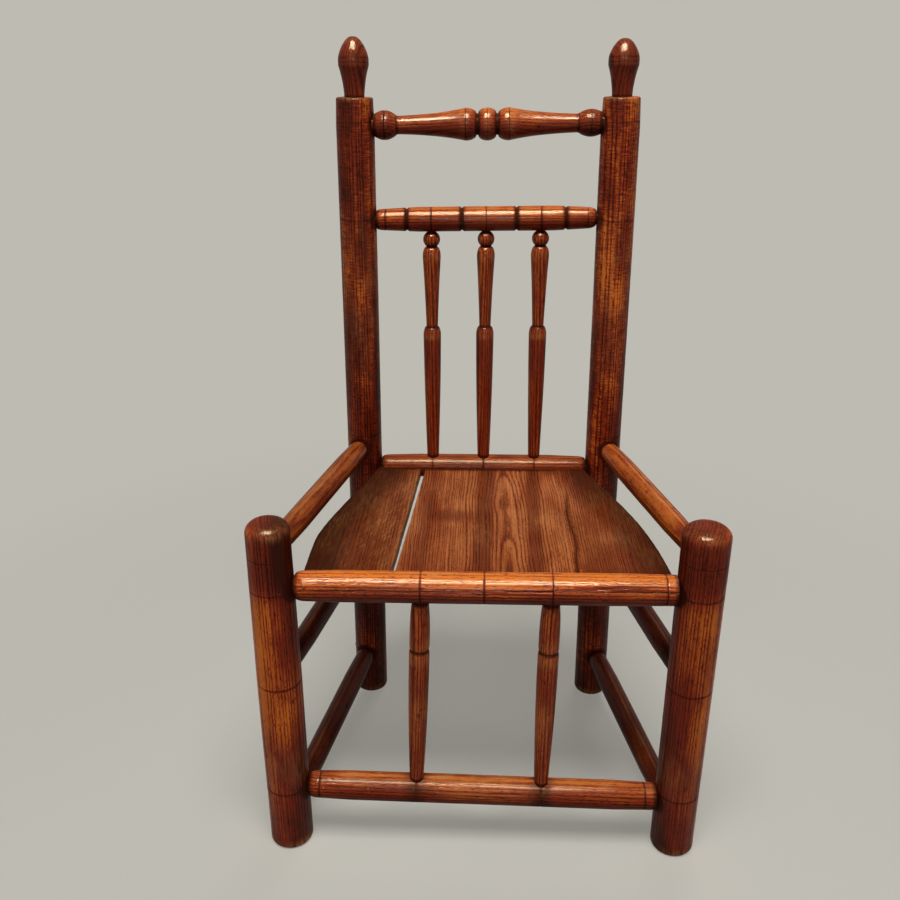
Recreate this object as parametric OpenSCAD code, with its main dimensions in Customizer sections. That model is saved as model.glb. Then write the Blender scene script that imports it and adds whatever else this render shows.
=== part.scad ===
// Turned chair: thick posts, turned rails and spindles, finials and a seat of two boards.
// Millimetres, +Z up, +Y towards the back, x = 0 on the centre line, floor at z = 0.
// The origin is the centre of the chair's footprint.
// Every post leans a little, so each has an axis from its foot to its top, and every rail
// runs from a point on one post's axis to a point on another's.

/* [Front posts] */
// Distance between the front posts at the floor, centre to centre
front_spacing = 545; // [460:1:640]
// Height of the front posts above the upper side rails' axis
front_post_rise = 45; // [32:1:90]
// Diameter of the front posts
front_post_d = 59.6; // [54:0.2:66]
// How far the top of each front post leans in towards the centre line
front_lean_in = 4; // [0:0.5:15]
// How much further the left one leans in
front_left_lean_extra = 2.4; // [0:0.2:6]
// How much thinner the left one is at its top
front_left_taper = 4; // [0:0.5:7]
// How far the top of each front post leans forwards
front_lean_forward = 4.5; // [0:0.5:15]
// Height of the rounded top of a front post
front_dome_h = 14; // [4:0.5:20]
// Radius of the flat in the middle of that top
front_dome_flat_r = 11; // [4:0.5:20]

/* [Back posts] */
// Distance between the back posts at the floor, centre to centre
back_spacing = 387.5; // [340:0.5:480]
// Height of the back posts up to the shoulder under the finial
back_post_h = 980; // [880:1:1080]
// Diameter of the back posts
back_post_d = 53.5; // [50:0.5:60]
// How far the top of each back post leans in towards the centre line
back_lean_in = 11.5; // [0:0.5:20]
// How far the top of each back post leans backwards
back_lean_back = 10; // [0:0.5:40]
// Diameter that the back posts taper to above the crest rail
back_post_top_d = 51; // [44:0.5:53]
// Rounding of the back posts' top edge
back_post_arris = 2.5; // [0.5:0.1:4]
// Distance from the front posts to the back posts at the floor, centre to centre
frame_depth = 345.5; // [300:0.5:420]

/* [Feet and score lines] */
// Rounding of the posts' lower edge
foot_arris = 6; // [2:0.5:10]
// Width of a turned score line
score_w = 1.6; // [0.8:0.1:3]
// Depth of a turned score line
score_depth = 0.8; // [0.3:0.1:1.5]
// How far the back posts' score line stands above the upper side rails' axis
back_score_rise = 21; // [0:0.5:40]

/* [Finials] */
// Diameter of the finial where it stands on the post
finial_base_d = 27.6; // [22:0.2:34]
// Largest diameter of the finial
finial_d = 41.6; // [34:0.2:48]
// Height of the flared stem up to the largest diameter
finial_stem_h = 40; // [30:0.5:60]
// Height of the straight band at the largest diameter
finial_band_h = 8; // [4:0.5:12]
// Height of the acorn above the band
finial_acorn_h = 28; // [20:0.5:36]
// Height of the blunt tip of that acorn
finial_tip_h = 10; // [6:0.5:14]
// Diameter where the blunt tip starts
finial_tip_d = 28.4; // [24:0.2:32]
// Diameter of the flat at the very top
finial_top_d = 6; // [2:0.5:10]
// Outward curve of the acorn
finial_acorn_bow = 0.8; // [0:0.1:2]
// Outward curve of the blunt tip
finial_tip_bow = 3; // [1:0.1:4]
// Inward curve of the flared stem
finial_flare = 1.4; // [0:0.1:4]
// Diameter of the finial's tenon
finial_tenon_d = 18; // [12:0.5:22]
// Length of the finial's tenon
finial_tenon_l = 13; // [8:0.5:16]

/* [Crest rail] */
// Distance of the crest rail's axis below the top of the back posts
crest_drop = 35; // [30:1:60]
// How much higher its axis is at the right post than in the middle
crest_tilt = 1.8; // [0:0.2:4]
// Diameter of the ring at the middle
crest_ring_d = 43.4; // [36:0.2:52]
// Width of that ring
crest_ring_w = 25; // [16:0.5:34]
// Diameter of the necks beside the ring
crest_neck_d = 31; // [24:0.5:36]
// Width of each neck
crest_neck_w = 2.5; // [1:0.5:6]
// Largest diameter of the two long vases
crest_vase_d = 43.4; // [38:0.2:52]
// Length of the round shoulder from the neck to the vase's largest diameter
crest_vase_round = 15; // [8:0.5:20]
// Length of the steeper part of each vase
crest_flare_l = 35; // [20:1:50]
// Diameter at the end of that part
crest_flare_d = 32.2; // [28:0.2:38]
// Diameter of the vases at their thin end
crest_vase_end_d = 24.8; // [22:0.2:30]
// Diameter of the left end bead
crest_bead_left_d = 40; // [34:0.2:46]
// Diameter of the right end bead
crest_bead_right_d = 37; // [34:0.2:46]
// Width of the end beads
crest_bead_w = 31; // [20:0.5:40]
// Diameter of the end beads at the posts
crest_bead_end_d = 28; // [26:0.5:32]
// Place of the end beads' score line: 0 is at the vase and 1 at the post
crest_bead_score = 0.55; // [0.3:0.05:0.8]
// Diameter of the crest rail's tenons
crest_tenon_d = 25; // [18:0.5:26]

/* [Middle back rail] */
// Distance of the middle back rail's axis below the crest rail's axis
middle_rail_drop = 128.5; // [80:0.5:180]
// How much higher its axis is at the right post than in the middle
middle_rail_tilt = 2; // [0:0.2:4]
// Diameter of the middle back rail
middle_rail_d = 35; // [32:0.5:42]
// Diameter of its tenons
middle_rail_tenon_d = 27; // [20:0.5:30]
// How much thinner, in radius, it is at the start of its end rounding
middle_rail_end_drop = 2.8; // [0:0.1:3.5]
// Distance between its inner pair of bands
band_inner_gap = 78; // [66:1:90]
// How far their middle is to the right
band_inner_shift = 4.3; // [0:0.1:8]
// Distance of its outer pair of bands from the middle
band_outer_x = 113.5; // [100:0.5:125]
// Width of a band, between its two score lines
band_w = 5; // [3:0.5:8]
// Distance of its end score lines from the middle
end_score_x = 144; // [134:0.5:146]

/* [Seat rails] */
// Distance of the front seat rail's axis below the seat's top face
front_seat_rail_drop = 7; // [0:0.5:9]
// Diameter of the front seat rail
front_seat_rail_d = 40.8; // [37:0.2:46]
// Diameter of its tenons
front_seat_rail_tenon_d = 33; // [24:0.5:34]
// Distance of the rear seat rail's axis below the seat's top face
rear_seat_rail_drop = 2.5; // [0:0.5:9]
// Diameter of the rear seat rail
rear_seat_rail_d = 37; // [35:0.5:44]
// Diameter of its tenons
rear_seat_rail_tenon_d = 28; // [20:0.5:30]

/* [Front stretcher] */
// Height of the front stretcher's axis at the left post
front_stretcher_left_z = 97; // [88:0.5:140]
// Height of its axis at the right post
front_stretcher_right_z = 84.5; // [84:0.5:140]
// Diameter of the front stretcher
front_stretcher_d = 39.6; // [34:0.2:44]
// Diameter of its tenons
front_stretcher_tenon_d = 30; // [20:0.5:30]

/* [Side rails] */
// Height of the upper side rails' axis above the seat's top face, at the front posts
upper_side_front_rise = 40; // [36:0.5:120]
// The same height at the back posts
upper_side_back_rise = 36; // [34:0.5:120]
// Diameter of the upper side rails
upper_side_d = 32.2; // [30:0.2:38]
// Diameter of their tenons
upper_side_tenon_d = 26; // [18:0.5:28]
// Height of the middle side rails' axis at the front posts
middle_side_front_z = 280; // [200:0.5:340]
// Height of their axis at the back posts
middle_side_back_z = 293; // [200:0.5:340]
// Diameter of the middle side rails
middle_side_d = 31; // [29:0.5:38]
// Diameter of their tenons
middle_side_tenon_d = 25; // [18:0.5:27]
// Height of the lower side stretchers' axis at the front posts
lower_side_front_z = 51; // [40:0.5:52]
// Height of their axis at the back posts
lower_side_back_z = 83; // [40:0.5:140]
// Diameter of the lower side stretchers
lower_side_d = 33; // [30:0.5:38]
// Diameter of their tenons
lower_side_tenon_d = 26; // [18:0.5:28]

/* [Rail ends and tenons] */
// Length of the rounding where a rail meets its post
end_round = 14; // [6:0.5:24]
// Length of the slight taper towards each rail end
end_taper = 60; // [30:1:64]
// How much thinner, in radius, a rail is at the start of its end rounding
end_drop = 1.3; // [0:0.1:2]
// How far a tenon runs past the post's axis
tenon_past = 4; // [1:0.5:8]
// Chamfer at a tenon's end
tenon_chamfer = 1.5; // [0.5:0.1:3]
// Radial clearance of a tenon in its bore
tenon_clearance = 0.1; // [0.05:0.05:0.3]
// Gap between a tenon's end and the bottom of its bore
tenon_end_gap = 1; // [0.3:0.1:3]
// Gap between a rail's rounded end and the post
shoulder_gap = 0.4; // [0.3:0.1:0.8]

/* [Back spindles] */
// Distance of the outer back spindles from the middle one, at the seat rail
back_spindle_foot_x = 80; // [50:0.5:90]
// The same distance at the middle back rail
back_spindle_top_x = 78.5; // [50:0.5:90]
// Diameter of the foot and of its tenon
back_spindle_foot_d = 18.6; // [14:0.2:20]
// Diameter of the top tenon
back_spindle_tenon_d = 11; // [8:0.2:14]
// Diameter of the ball under the middle back rail
back_ball_d = 24.8; // [18:0.2:30]
// Diameter of the neck under the ball
back_neck_d = 16; // [12:0.2:18]
// Distance from the ball to the vase below it
back_neck_l = 1.5; // [1:0.5:8]
// Largest diameter of the vase
back_vase_d = 26.6; // [20:0.2:30]
// Length of the vase's round shoulder
back_vase_round = 14; // [6:0.5:18]
// Length of the vase below its shoulder
back_vase_l = 105; // [80:1:130]
// Diameter at the vase's thin end
back_waist_d = 17.2; // [12:0.2:18]
// Inward curve of the vase
back_vase_hollow = 0.35; // [0:0.05:1.5]
// Length of the round shoulder below the waist
back_shoulder_round = 13; // [6:0.5:18]
// Diameter of the shoulder of the long lower taper
back_shoulder_d = 26.6; // [20:0.2:30]

/* [Front spindles] */
// Distance of the left spindle from the middle, at the seat rail
left_spindle_top_x = 79.5; // [60:0.5:110]
// Distance of its foot from the middle, at the stretcher
left_spindle_foot_x = 91; // [60:0.5:110]
// Distance of the right spindle from the middle, at the seat rail
right_spindle_top_x = 85; // [60:0.5:110]
// Distance of its foot from the middle, at the stretcher
right_spindle_foot_x = 82.5; // [60:0.5:110]
// Diameter of the top and of its tenon
front_spindle_top_d = 20; // [14:0.5:22]
// Largest diameter of the urn under the seat rail
front_urn_d = 27; // [22:0.2:30]
// Length of the urn's upper curve
front_urn_top_l = 60; // [40:1:80]
// Length of the urn's straight part
front_urn_band_l = 6; // [3:0.5:16]
// Length of the urn's lower rounding
front_urn_round = 8; // [5:0.5:16]
// Diameter of the sharp neck below the urn
front_neck_d = 22.2; // [16:0.2:24]
// Length of the rounding from the neck to the shoulder
front_shoulder_round = 7; // [3:0.5:10]
// Diameter of the shoulder of the long lower taper
front_shoulder_d = 27.6; // [22:0.2:30]
// Outward curve of the long lower taper
front_taper_bow = 1.2; // [0:0.1:2]
// Diameter of the foot and of its tenon
front_spindle_foot_d = 19.5; // [14:0.5:22]
// Depth of the spindle tenons in their rails
spindle_tenon_l = 13; // [8:0.5:16]
// Curve of the other turned tapers, outwards or inwards
turned_bow = 0.6; // [0:0.1:1.5]

/* [Seat boards] */
// Height of the seat's top face
seat_top_z = 431; // [380:1:480]
// Thickness of the boards
seat_t = 15; // [12:0.5:18]
// Distance of the seat's left side from the front post's axis
seat_left_inset = 36; // [32:0.5:60]
// Distance of its right side from the front post's axis
seat_right_inset = 29.5; // [29:0.5:60]
// Distance of the seat's left side from the back post's axis, at the rear rail
seat_rear_left_inset = 22.5; // [20:0.5:45]
// Distance of its right side from the back post's axis, at the rear rail
seat_rear_right_inset = 30.5; // [20:0.5:45]
// Where the wide board starts at the front, left of the middle
gap_front_x = 115; // [60:1:140]
// Where the wide board starts at the rear, left of the middle
gap_rear_x = 91; // [60:0.5:130]
// Gap between the two boards at the front
gap_front_w = 5.5; // [1:0.5:14]
// Gap between the two boards at the rear
gap_rear_w = 7.5; // [1:0.5:16]
// Depth of the grooves that hold the boards
groove_depth = 8; // [5:0.5:8.5]
// Clearance of the boards in their grooves
board_clearance = 0.3; // [0.1:0.1:0.6]
// Gap between the boards' sides and the ends of the grooves
groove_end_gap = 1; // [0.5:0.1:3]

/* [Pegs] */
// Diameter of the pegs
peg_d = 5; // [3:0.1:7]
// Length of the pegs below the post's surface
peg_l = 26; // [16:0.5:28]
// How far the pegs' round heads stand proud
peg_proud = 1; // [0.4:0.1:2]
// Distance of the front pegs from the post's axis, towards the middle
peg_inboard = 15; // [8:0.5:18]
// Radial clearance of a peg in its hole
peg_clearance = 0.05; // [0.03:0.01:0.1]

/* [Hidden] */
$fn = 72;

dark_wood = "#4d170d";
mid_wood = "#6b2713";
seat_wood = "#7a4526";

// Heights that follow the seat and the top of the back posts
front_seat_rail_z = seat_top_z - front_seat_rail_drop;
rear_seat_rail_z = seat_top_z - rear_seat_rail_drop;
upper_side_front_z = seat_top_z + upper_side_front_rise;
upper_side_back_z = seat_top_z + upper_side_back_rise;
front_post_h = upper_side_front_z + front_post_rise;
crest_z = back_post_h - crest_drop;
middle_rail_z = crest_z - middle_rail_drop;

left = -1;
right = 1;
front_r = front_post_d / 2;
back_r = back_post_d / 2;
// Steps along a turned curve
steps = 7;
// Steps along the curved side of the seat
side_steps = 20;
// How far a foot's outline starts below the floor, so that the floor cuts it level
foot_sink = 1;
// Height of the block that cuts the feet level
floor_cut_h = 20;
// Turn of each round piece about its own axis, which keeps its seam clear of the bores
seam_turn = 40;

// The footprint's front and rear edges, counted from the front posts' feet
front_edge = -front_r - front_lean_forward * (1 - front_dome_h / front_post_h);
rear_edge = frame_depth + back_lean_back * crest_z / back_post_h + back_r;
front_y = -(front_edge + rear_edge) / 2;
back_y = front_y + frame_depth;

function front_axis(side, z) = [
    side * (front_spacing / 2
        - (front_lean_in + (side == left ? front_left_lean_extra : 0)) * z / front_post_h),
    front_y - front_lean_forward * z / front_post_h,
    z
];
function back_axis(side, z) = [
    side * (back_spacing / 2 - back_lean_in * z / back_post_h),
    back_y + back_lean_back * z / back_post_h,
    z
];

// Radius of a front post at its top, and at a height above the middle side rail
function front_top_r(side) = front_r - (side == left ? front_left_taper / 2 : 0);
function front_r_at(side, z) =
    mix(front_r, front_top_r(side),
        (z - middle_side_front_z) / (front_post_h - front_dome_h - middle_side_front_z));

// Half widths of the seat at the front and rear rails
seat_left_w = -front_axis(left, seat_top_z)[0] - seat_left_inset;
seat_right_w = front_axis(right, seat_top_z)[0] - seat_right_inset;
seat_rear_left_w = back_axis(right, seat_top_z)[0] - seat_rear_left_inset;
seat_rear_right_w = back_axis(right, seat_top_z)[0] - seat_rear_right_inset;

// Axes of the rails, from one post's axis to the other's
crest_ends = [back_axis(left, crest_z - crest_tilt), back_axis(right, crest_z + crest_tilt)];
middle_rail_ends = [
    back_axis(left, middle_rail_z - middle_rail_tilt),
    back_axis(right, middle_rail_z + middle_rail_tilt)
];
rear_seat_rail_ends = [back_axis(left, rear_seat_rail_z), back_axis(right, rear_seat_rail_z)];
front_seat_rail_ends = [front_axis(left, front_seat_rail_z), front_axis(right, front_seat_rail_z)];
front_stretcher_ends = [
    front_axis(left, front_stretcher_left_z),
    front_axis(right, front_stretcher_right_z)
];
function upper_side_ends(side) = [
    front_axis(side, upper_side_front_z),
    back_axis(side, upper_side_back_z)
];
function middle_side_ends(side) = [
    front_axis(side, middle_side_front_z),
    back_axis(side, middle_side_back_z)
];
function lower_side_ends(side) = [
    front_axis(side, lower_side_front_z),
    back_axis(side, lower_side_back_z)
];

function mix(a, b, t) = a + (b - a) * t;
function span(ends) = norm(ends[1] - ends[0]);
// Point of a rail's axis at a distance x from the centre line
function at_x(ends, x) = mix(ends[0], ends[1], (x - ends[0][0]) / (ends[1][0] - ends[0][0]));
function reversed(line) = [for (i = [len(line) - 1:-1:0]) line[i]];

// A turned outline is a list of [distance along the axis, radius].
// Round shoulder: leaves a straight out from the axis and reaches b along it
function round_out(a, b) = [
    for (i = [1:steps])
        let (t = 90 * i / steps)
        [mix(a[0], b[0], 1 - cos(t)), mix(a[1], b[1], sin(t))]
];
// The same curve the other way: leaves a along the axis and drops straight in to b
function round_in(a, b) = [
    for (i = [1:steps])
        let (t = 90 * i / steps)
        [mix(a[0], b[0], sin(t)), mix(a[1], b[1], 1 - cos(t))]
];
// Straight taper from a to b with an outward bow
function taper(a, b, bow) = [
    for (i = [1:steps])
        let (t = i / steps)
        [mix(a[0], b[0], t), mix(a[1], b[1], t) + bow * 4 * t * (1 - t)]
];
// Part of a ball around centre, from radius start_r to radius end_r
function ball(centre, r, start_r, end_r) = [
    for (i = [0:2 * steps])
        let (t = mix(-acos(start_r / r), acos(end_r / r), i / (2 * steps)))
        [centre + r * sin(t), r * cos(t)]
];

// Score lines: a V-notch in the outline at each of the rising places in scores
function in_score(x, scores) = len([for (s = scores) if (abs(x - s) <= score_w / 2) s]) > 0;
function notch(s, line) = [
    [s - score_w / 2, lookup(s - score_w / 2, line)],
    [s, lookup(s, line) - score_depth],
    [s + score_w / 2, lookup(s + score_w / 2, line)]
];
function scored(line, scores) =
    let (kept = [for (p = line) if (!in_score(p[0], scores)) p])
    [
        for (i = [0:len(kept) - 1])
            each concat(
                [kept[i]],
                i == len(kept) - 1 ? [] : [
                    for (s = scores)
                        if (s > kept[i][0] && s < kept[i + 1][0])
                            each notch(s, line)
                ]
            )
    ];

// Solid turned to an outline, with its axis on z
module turned(line) {
    rotate([0, 0, seam_turn])
        rotate_extrude()
            polygon(concat(
                [[0, line[0][0]]],
                [for (p = line) [p[1], p[0]]],
                [[0, line[len(line) - 1][0]]]
            ));
}

// Puts children that stand on z along the line from ends[0] to ends[1]
module along(ends) {
    v = ends[1] - ends[0];
    translate(ends[0])
        rotate([0, acos(v[2] / norm(v)), atan2(v[1], v[0])])
            children();
}

// Blind bore in a post for the rail that runs from the post's axis at ends[0]
module mortise(ends, post_r, tenon_d) {
    bore_end = tenon_past + tenon_end_gap;
    along(ends)
        translate([0, 0, -bore_end])
            cylinder(h = bore_end + post_r + end_round, d = tenon_d + 2 * tenon_clearance);
}

// Outline of a rail's end: tenon, rounding at the post and slight taper, up to the radius r
function rail_end(post_r, r, tenon_r, drop) =
    let (face = post_r + shoulder_gap)
    concat(
        [
            [-tenon_past, tenon_r - tenon_chamfer],
            [-tenon_past + tenon_chamfer, tenon_r],
            [face, tenon_r]
        ],
        round_out([face, tenon_r], [face + end_round, r - drop]),
        [[post_r + end_taper, r]]
    );
function flipped(line, l) = [for (p = reversed(line)) [l - p[0], p[1]]];
// Outline of a whole plain rail, l long between the axes of its two posts
function rail_line(l, start_r, end_r, r, tenon_r, drop = end_drop) = concat(
    rail_end(start_r, r, tenon_r, drop),
    flipped(rail_end(end_r, r, tenon_r, drop), l)
);

// Posts
function front_post_line(side, stretcher_z) = scored(
    concat(
        [[-foot_sink, front_r - foot_arris], [0, front_r - foot_arris]],
        round_out([0, front_r - foot_arris], [foot_arris, front_r]),
        side == left ? [[middle_side_front_z, front_r]] : [],
        [[front_post_h - front_dome_h, front_top_r(side)]],
        round_in([front_post_h - front_dome_h, front_top_r(side)],
            [front_post_h, front_dome_flat_r])
    ),
    [
        lower_side_front_z, stretcher_z, middle_side_front_z,
        front_seat_rail_z, upper_side_front_z
    ]
);
back_post_line = scored(
    concat(
        [[-foot_sink, back_r - foot_arris], [0, back_r - foot_arris]],
        round_out([0, back_r - foot_arris], [foot_arris, back_r]),
        [
            [crest_z, back_r],
            [back_post_h - back_post_arris, back_post_top_d / 2]
        ],
        round_in(
            [back_post_h - back_post_arris, back_post_top_d / 2],
            [back_post_h, back_post_top_d / 2 - back_post_arris]
        )
    ),
    [
        lower_side_back_z, middle_side_back_z, upper_side_back_z + back_score_rise,
        middle_rail_z, crest_z + 2 * score_w
    ]
);

module below_floor() {
    translate([-front_spacing, -2 * frame_depth, -floor_cut_h])
        cube([2 * front_spacing, 4 * frame_depth, floor_cut_h]);
}

module front_post(side) {
    stretcher_z = side == left ? front_stretcher_left_z : front_stretcher_right_z;
    inner = side == left ? 0 : 1;
    color(mid_wood)
        difference() {
            along([front_axis(side, 0), front_axis(side, front_post_h)])
                turned(front_post_line(side, stretcher_z));
            below_floor();
            mortise([front_seat_rail_ends[inner], front_seat_rail_ends[1 - inner]],
                front_r, front_seat_rail_tenon_d);
            mortise([front_stretcher_ends[inner], front_stretcher_ends[1 - inner]],
                front_r, front_stretcher_tenon_d);
            mortise(upper_side_ends(side), front_r, upper_side_tenon_d);
            mortise(middle_side_ends(side), front_r, middle_side_tenon_d);
            mortise(lower_side_ends(side), front_r, lower_side_tenon_d);
            front_peg_hole(side);
        }
}

module back_post(side) {
    inner = side == left ? 0 : 1;
    color(dark_wood)
        difference() {
            along([back_axis(side, 0), back_axis(side, back_post_h)])
                turned(back_post_line);
            below_floor();
            mortise([crest_ends[inner], crest_ends[1 - inner]], back_r, crest_tenon_d);
            mortise([middle_rail_ends[inner], middle_rail_ends[1 - inner]],
                back_r, middle_rail_tenon_d);
            mortise([rear_seat_rail_ends[inner], rear_seat_rail_ends[1 - inner]],
                back_r, rear_seat_rail_tenon_d);
            mortise(reversed(upper_side_ends(side)), back_r, upper_side_tenon_d);
            mortise(reversed(middle_side_ends(side)), back_r, middle_side_tenon_d);
            mortise(reversed(lower_side_ends(side)), back_r, lower_side_tenon_d);
            finial_place(side)
                translate([0, 0, -finial_tenon_l - tenon_end_gap])
                    cylinder(h = 2 * finial_tenon_l,
                        d = finial_tenon_d + 2 * tenon_clearance);
            if (side == left)
                side_peg_hole();
        }
}

// Finials
finial_r = finial_d / 2;
finial_band_z = finial_stem_h + finial_band_h;
finial_tip_z = finial_band_z + finial_acorn_h - finial_tip_h;
finial_line = scored(
    concat(
        [
            [-finial_tenon_l, finial_tenon_d / 2 - tenon_chamfer],
            [-finial_tenon_l + tenon_chamfer, finial_tenon_d / 2],
            [0, finial_tenon_d / 2],
            [0, finial_base_d / 2]
        ],
        taper([0, finial_base_d / 2], [finial_stem_h, finial_r], -finial_flare),
        [[finial_band_z, finial_r]],
        taper([finial_band_z, finial_r], [finial_tip_z, finial_tip_d / 2], finial_acorn_bow),
        taper([finial_tip_z, finial_tip_d / 2], [finial_tip_z + finial_tip_h, finial_top_d / 2],
            finial_tip_bow)
    ),
    [finial_stem_h + score_w, finial_band_z - score_w]
);

// Puts children on the shoulder of a back post, in line with its axis
module finial_place(side) {
    top = back_axis(side, back_post_h);
    along([top, top + (top - back_axis(side, 0))])
        children();
}

module finial(side) {
    color(dark_wood)
        finial_place(side)
            turned(finial_line);
}

// Crest rail
crest_half = span(crest_ends) / 2;
crest_bead_end = crest_half - back_r - shoulder_gap;
crest_bead_start = crest_bead_end - crest_bead_w;
crest_neck_x = crest_ring_w / 2 + crest_neck_w;
crest_vase_x = crest_neck_x + crest_vase_round;
crest_flare_x = crest_vase_x + crest_flare_l;
// From the middle out to a tenon's end, with an end bead of the diameter bead_d
function crest_half_line(bead_d) = scored(
    concat(
        [[0, crest_ring_d / 2]],
        round_in([0, crest_ring_d / 2], [crest_ring_w / 2, crest_neck_d / 2]),
        [[crest_neck_x, crest_neck_d / 2]],
        round_out([crest_neck_x, crest_neck_d / 2], [crest_vase_x, crest_vase_d / 2]),
        taper([crest_vase_x, crest_vase_d / 2], [crest_flare_x, crest_flare_d / 2],
            -turned_bow),
        taper([crest_flare_x, crest_flare_d / 2], [crest_bead_start, crest_vase_end_d / 2],
            -turned_bow),
        taper([crest_bead_start, crest_vase_end_d / 2], [crest_bead_end, crest_bead_end_d / 2],
            (2 * bead_d - crest_vase_end_d - crest_bead_end_d) / 4),
        [
            [crest_bead_end, crest_tenon_d / 2],
            [crest_half + tenon_past - tenon_chamfer, crest_tenon_d / 2],
            [crest_half + tenon_past, crest_tenon_d / 2 - tenon_chamfer]
        ]
    ),
    [crest_vase_x, mix(crest_bead_start, crest_bead_end, crest_bead_score)]
);

module crest_rail() {
    left_half = [for (p = crest_half_line(crest_bead_left_d)) if (p[0] > 0) p];
    right_half = [for (p = crest_half_line(crest_bead_right_d)) if (p[0] > 0) p];
    color(mid_wood)
        along(crest_ends)
            translate([0, 0, crest_half])
                turned(concat(
                    [for (p = reversed(left_half)) [-p[0], p[1]]],
                    notch(0, [[-score_w, crest_ring_d / 2], [score_w, crest_ring_d / 2]]),
                    right_half
                ));
}

// Middle back rail
middle_rail_half = span(middle_rail_ends) / 2;
inner_band_xs = [for (side = [left, right]) band_inner_shift + side * band_inner_gap / 2];
middle_rail_scores = [
    -end_score_x, -band_outer_x - band_w / 2, -band_outer_x + band_w / 2, -back_spindle_top_x,
    inner_band_xs[0] - band_w / 2, inner_band_xs[0] + band_w / 2, 0,
    inner_band_xs[1] - band_w / 2, inner_band_xs[1] + band_w / 2, back_spindle_top_x,
    band_outer_x - band_w / 2, band_outer_x + band_w / 2, end_score_x
];

module middle_back_rail() {
    color(dark_wood)
        difference() {
            along(middle_rail_ends)
                turned(scored(
                    rail_line(span(middle_rail_ends), back_r, back_r, middle_rail_d / 2,
                        middle_rail_tenon_d / 2, middle_rail_end_drop),
                    [for (s = middle_rail_scores) middle_rail_half + s]
                ));
            for (i = [-1:1])
                spindle_bore(back_spindle_ends(i), rear_seat_rail_d / 2, middle_rail_d / 2,
                    back_spindle_tenon_d, true);
        }
}

// Seat rails, grooved for the boards
groove_top = seat_top_z + board_clearance;
groove_h = seat_t + 2 * board_clearance;
front_rail_y = front_seat_rail_ends[0][1];
rear_rail_y = rear_seat_rail_ends[0][1];
groove_front_y = front_rail_y + front_seat_rail_d / 2 - groove_depth;
groove_rear_y = rear_rail_y - rear_seat_rail_d / 2 + groove_depth;
board_front_y = groove_front_y + board_clearance;
board_rear_y = groove_rear_y - board_clearance;

// The slot that a groove cuts out of its rail, between the groove's bottom and the seat
module groove(bottom_y, open_y, w_left, w_right) {
    translate([-w_left, min(bottom_y, open_y), groove_top - groove_h])
        cube([w_left + w_right, abs(open_y - bottom_y), groove_h]);
}

function rail_marks(ends, xs) = [for (x = xs) norm(at_x(ends, x) - ends[0])];

module rear_seat_rail() {
    color(dark_wood)
        difference() {
            along(rear_seat_rail_ends)
                turned(scored(
                    rail_line(span(rear_seat_rail_ends), back_r, back_r, rear_seat_rail_d / 2,
                        rear_seat_rail_tenon_d / 2),
                    rail_marks(rear_seat_rail_ends, [-back_spindle_foot_x, 0, back_spindle_foot_x])
                ));
            groove(groove_rear_y, rear_rail_y - rear_seat_rail_d,
                seat_rear_left_w + groove_end_gap, seat_rear_right_w + groove_end_gap);
            for (i = [-1:1])
                spindle_bore(back_spindle_ends(i), rear_seat_rail_d / 2, middle_rail_d / 2,
                    back_spindle_foot_d, false);
        }
}

module front_seat_rail() {
    end_mark = front_axis(right, front_seat_rail_z)[0] - front_r - end_round;
    color(mid_wood)
        difference() {
            along(front_seat_rail_ends)
                turned(scored(
                    rail_line(span(front_seat_rail_ends),
                        front_r_at(left, front_seat_rail_z), front_r,
                        front_seat_rail_d / 2, front_seat_rail_tenon_d / 2),
                    rail_marks(front_seat_rail_ends,
                        [-left_spindle_top_x, 0, right_spindle_top_x, end_mark])
                ));
            groove(groove_front_y, front_rail_y + front_seat_rail_d,
                seat_left_w + groove_end_gap, seat_right_w + groove_end_gap);
            for (side = [left, right])
                spindle_bore(front_spindle_ends(side), front_stretcher_d / 2,
                    front_seat_rail_d / 2, front_spindle_top_d, true);
            front_peg_hole(left);
            front_peg_hole(right);
        }
}

// Front stretcher
module front_stretcher() {
    l = span(front_stretcher_ends);
    end_mark = front_r + end_round + shoulder_gap + score_w;
    foot_marks = rail_marks(front_stretcher_ends,
        [-left_spindle_foot_x, right_spindle_foot_x]);
    color(dark_wood)
        difference() {
            along(front_stretcher_ends)
                turned(scored(
                    rail_line(l, front_r, front_r, front_stretcher_d / 2,
                        front_stretcher_tenon_d / 2),
                    concat([end_mark], foot_marks, [l - end_mark])
                ));
            for (side = [left, right])
                spindle_bore(front_spindle_ends(side), front_stretcher_d / 2,
                    front_seat_rail_d / 2, front_spindle_foot_d, false);
        }
}

// Side rails, from a front post to a back post
module side_rail(ends, start_r, d, tenon_d) {
    along(ends)
        turned(rail_line(span(ends), start_r, back_r, d / 2, tenon_d / 2));
}

module upper_side_rail(side) {
    color(mid_wood)
        side_rail(upper_side_ends(side), front_r_at(side, upper_side_front_z),
            upper_side_d, upper_side_tenon_d);
}

module middle_side_rail(side) {
    color(dark_wood)
        side_rail(middle_side_ends(side), front_r, middle_side_d, middle_side_tenon_d);
}

module lower_side_stretcher(side) {
    color(dark_wood)
        difference() {
            side_rail(lower_side_ends(side), front_r, lower_side_d, lower_side_tenon_d);
            if (side == left)
                side_peg_hole();
        }
}

// Spindles stand between the axes of a lower and an upper rail
function back_spindle_ends(i) = [
    at_x(rear_seat_rail_ends, i * back_spindle_foot_x),
    at_x(middle_rail_ends, i * back_spindle_top_x)
];
function front_spindle_ends(side) = side == left
    ? [
        at_x(front_stretcher_ends, -left_spindle_foot_x),
        at_x(front_seat_rail_ends, -left_spindle_top_x)
    ]
    : [
        at_x(front_stretcher_ends, right_spindle_foot_x),
        at_x(front_seat_rail_ends, right_spindle_top_x)
    ];

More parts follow.
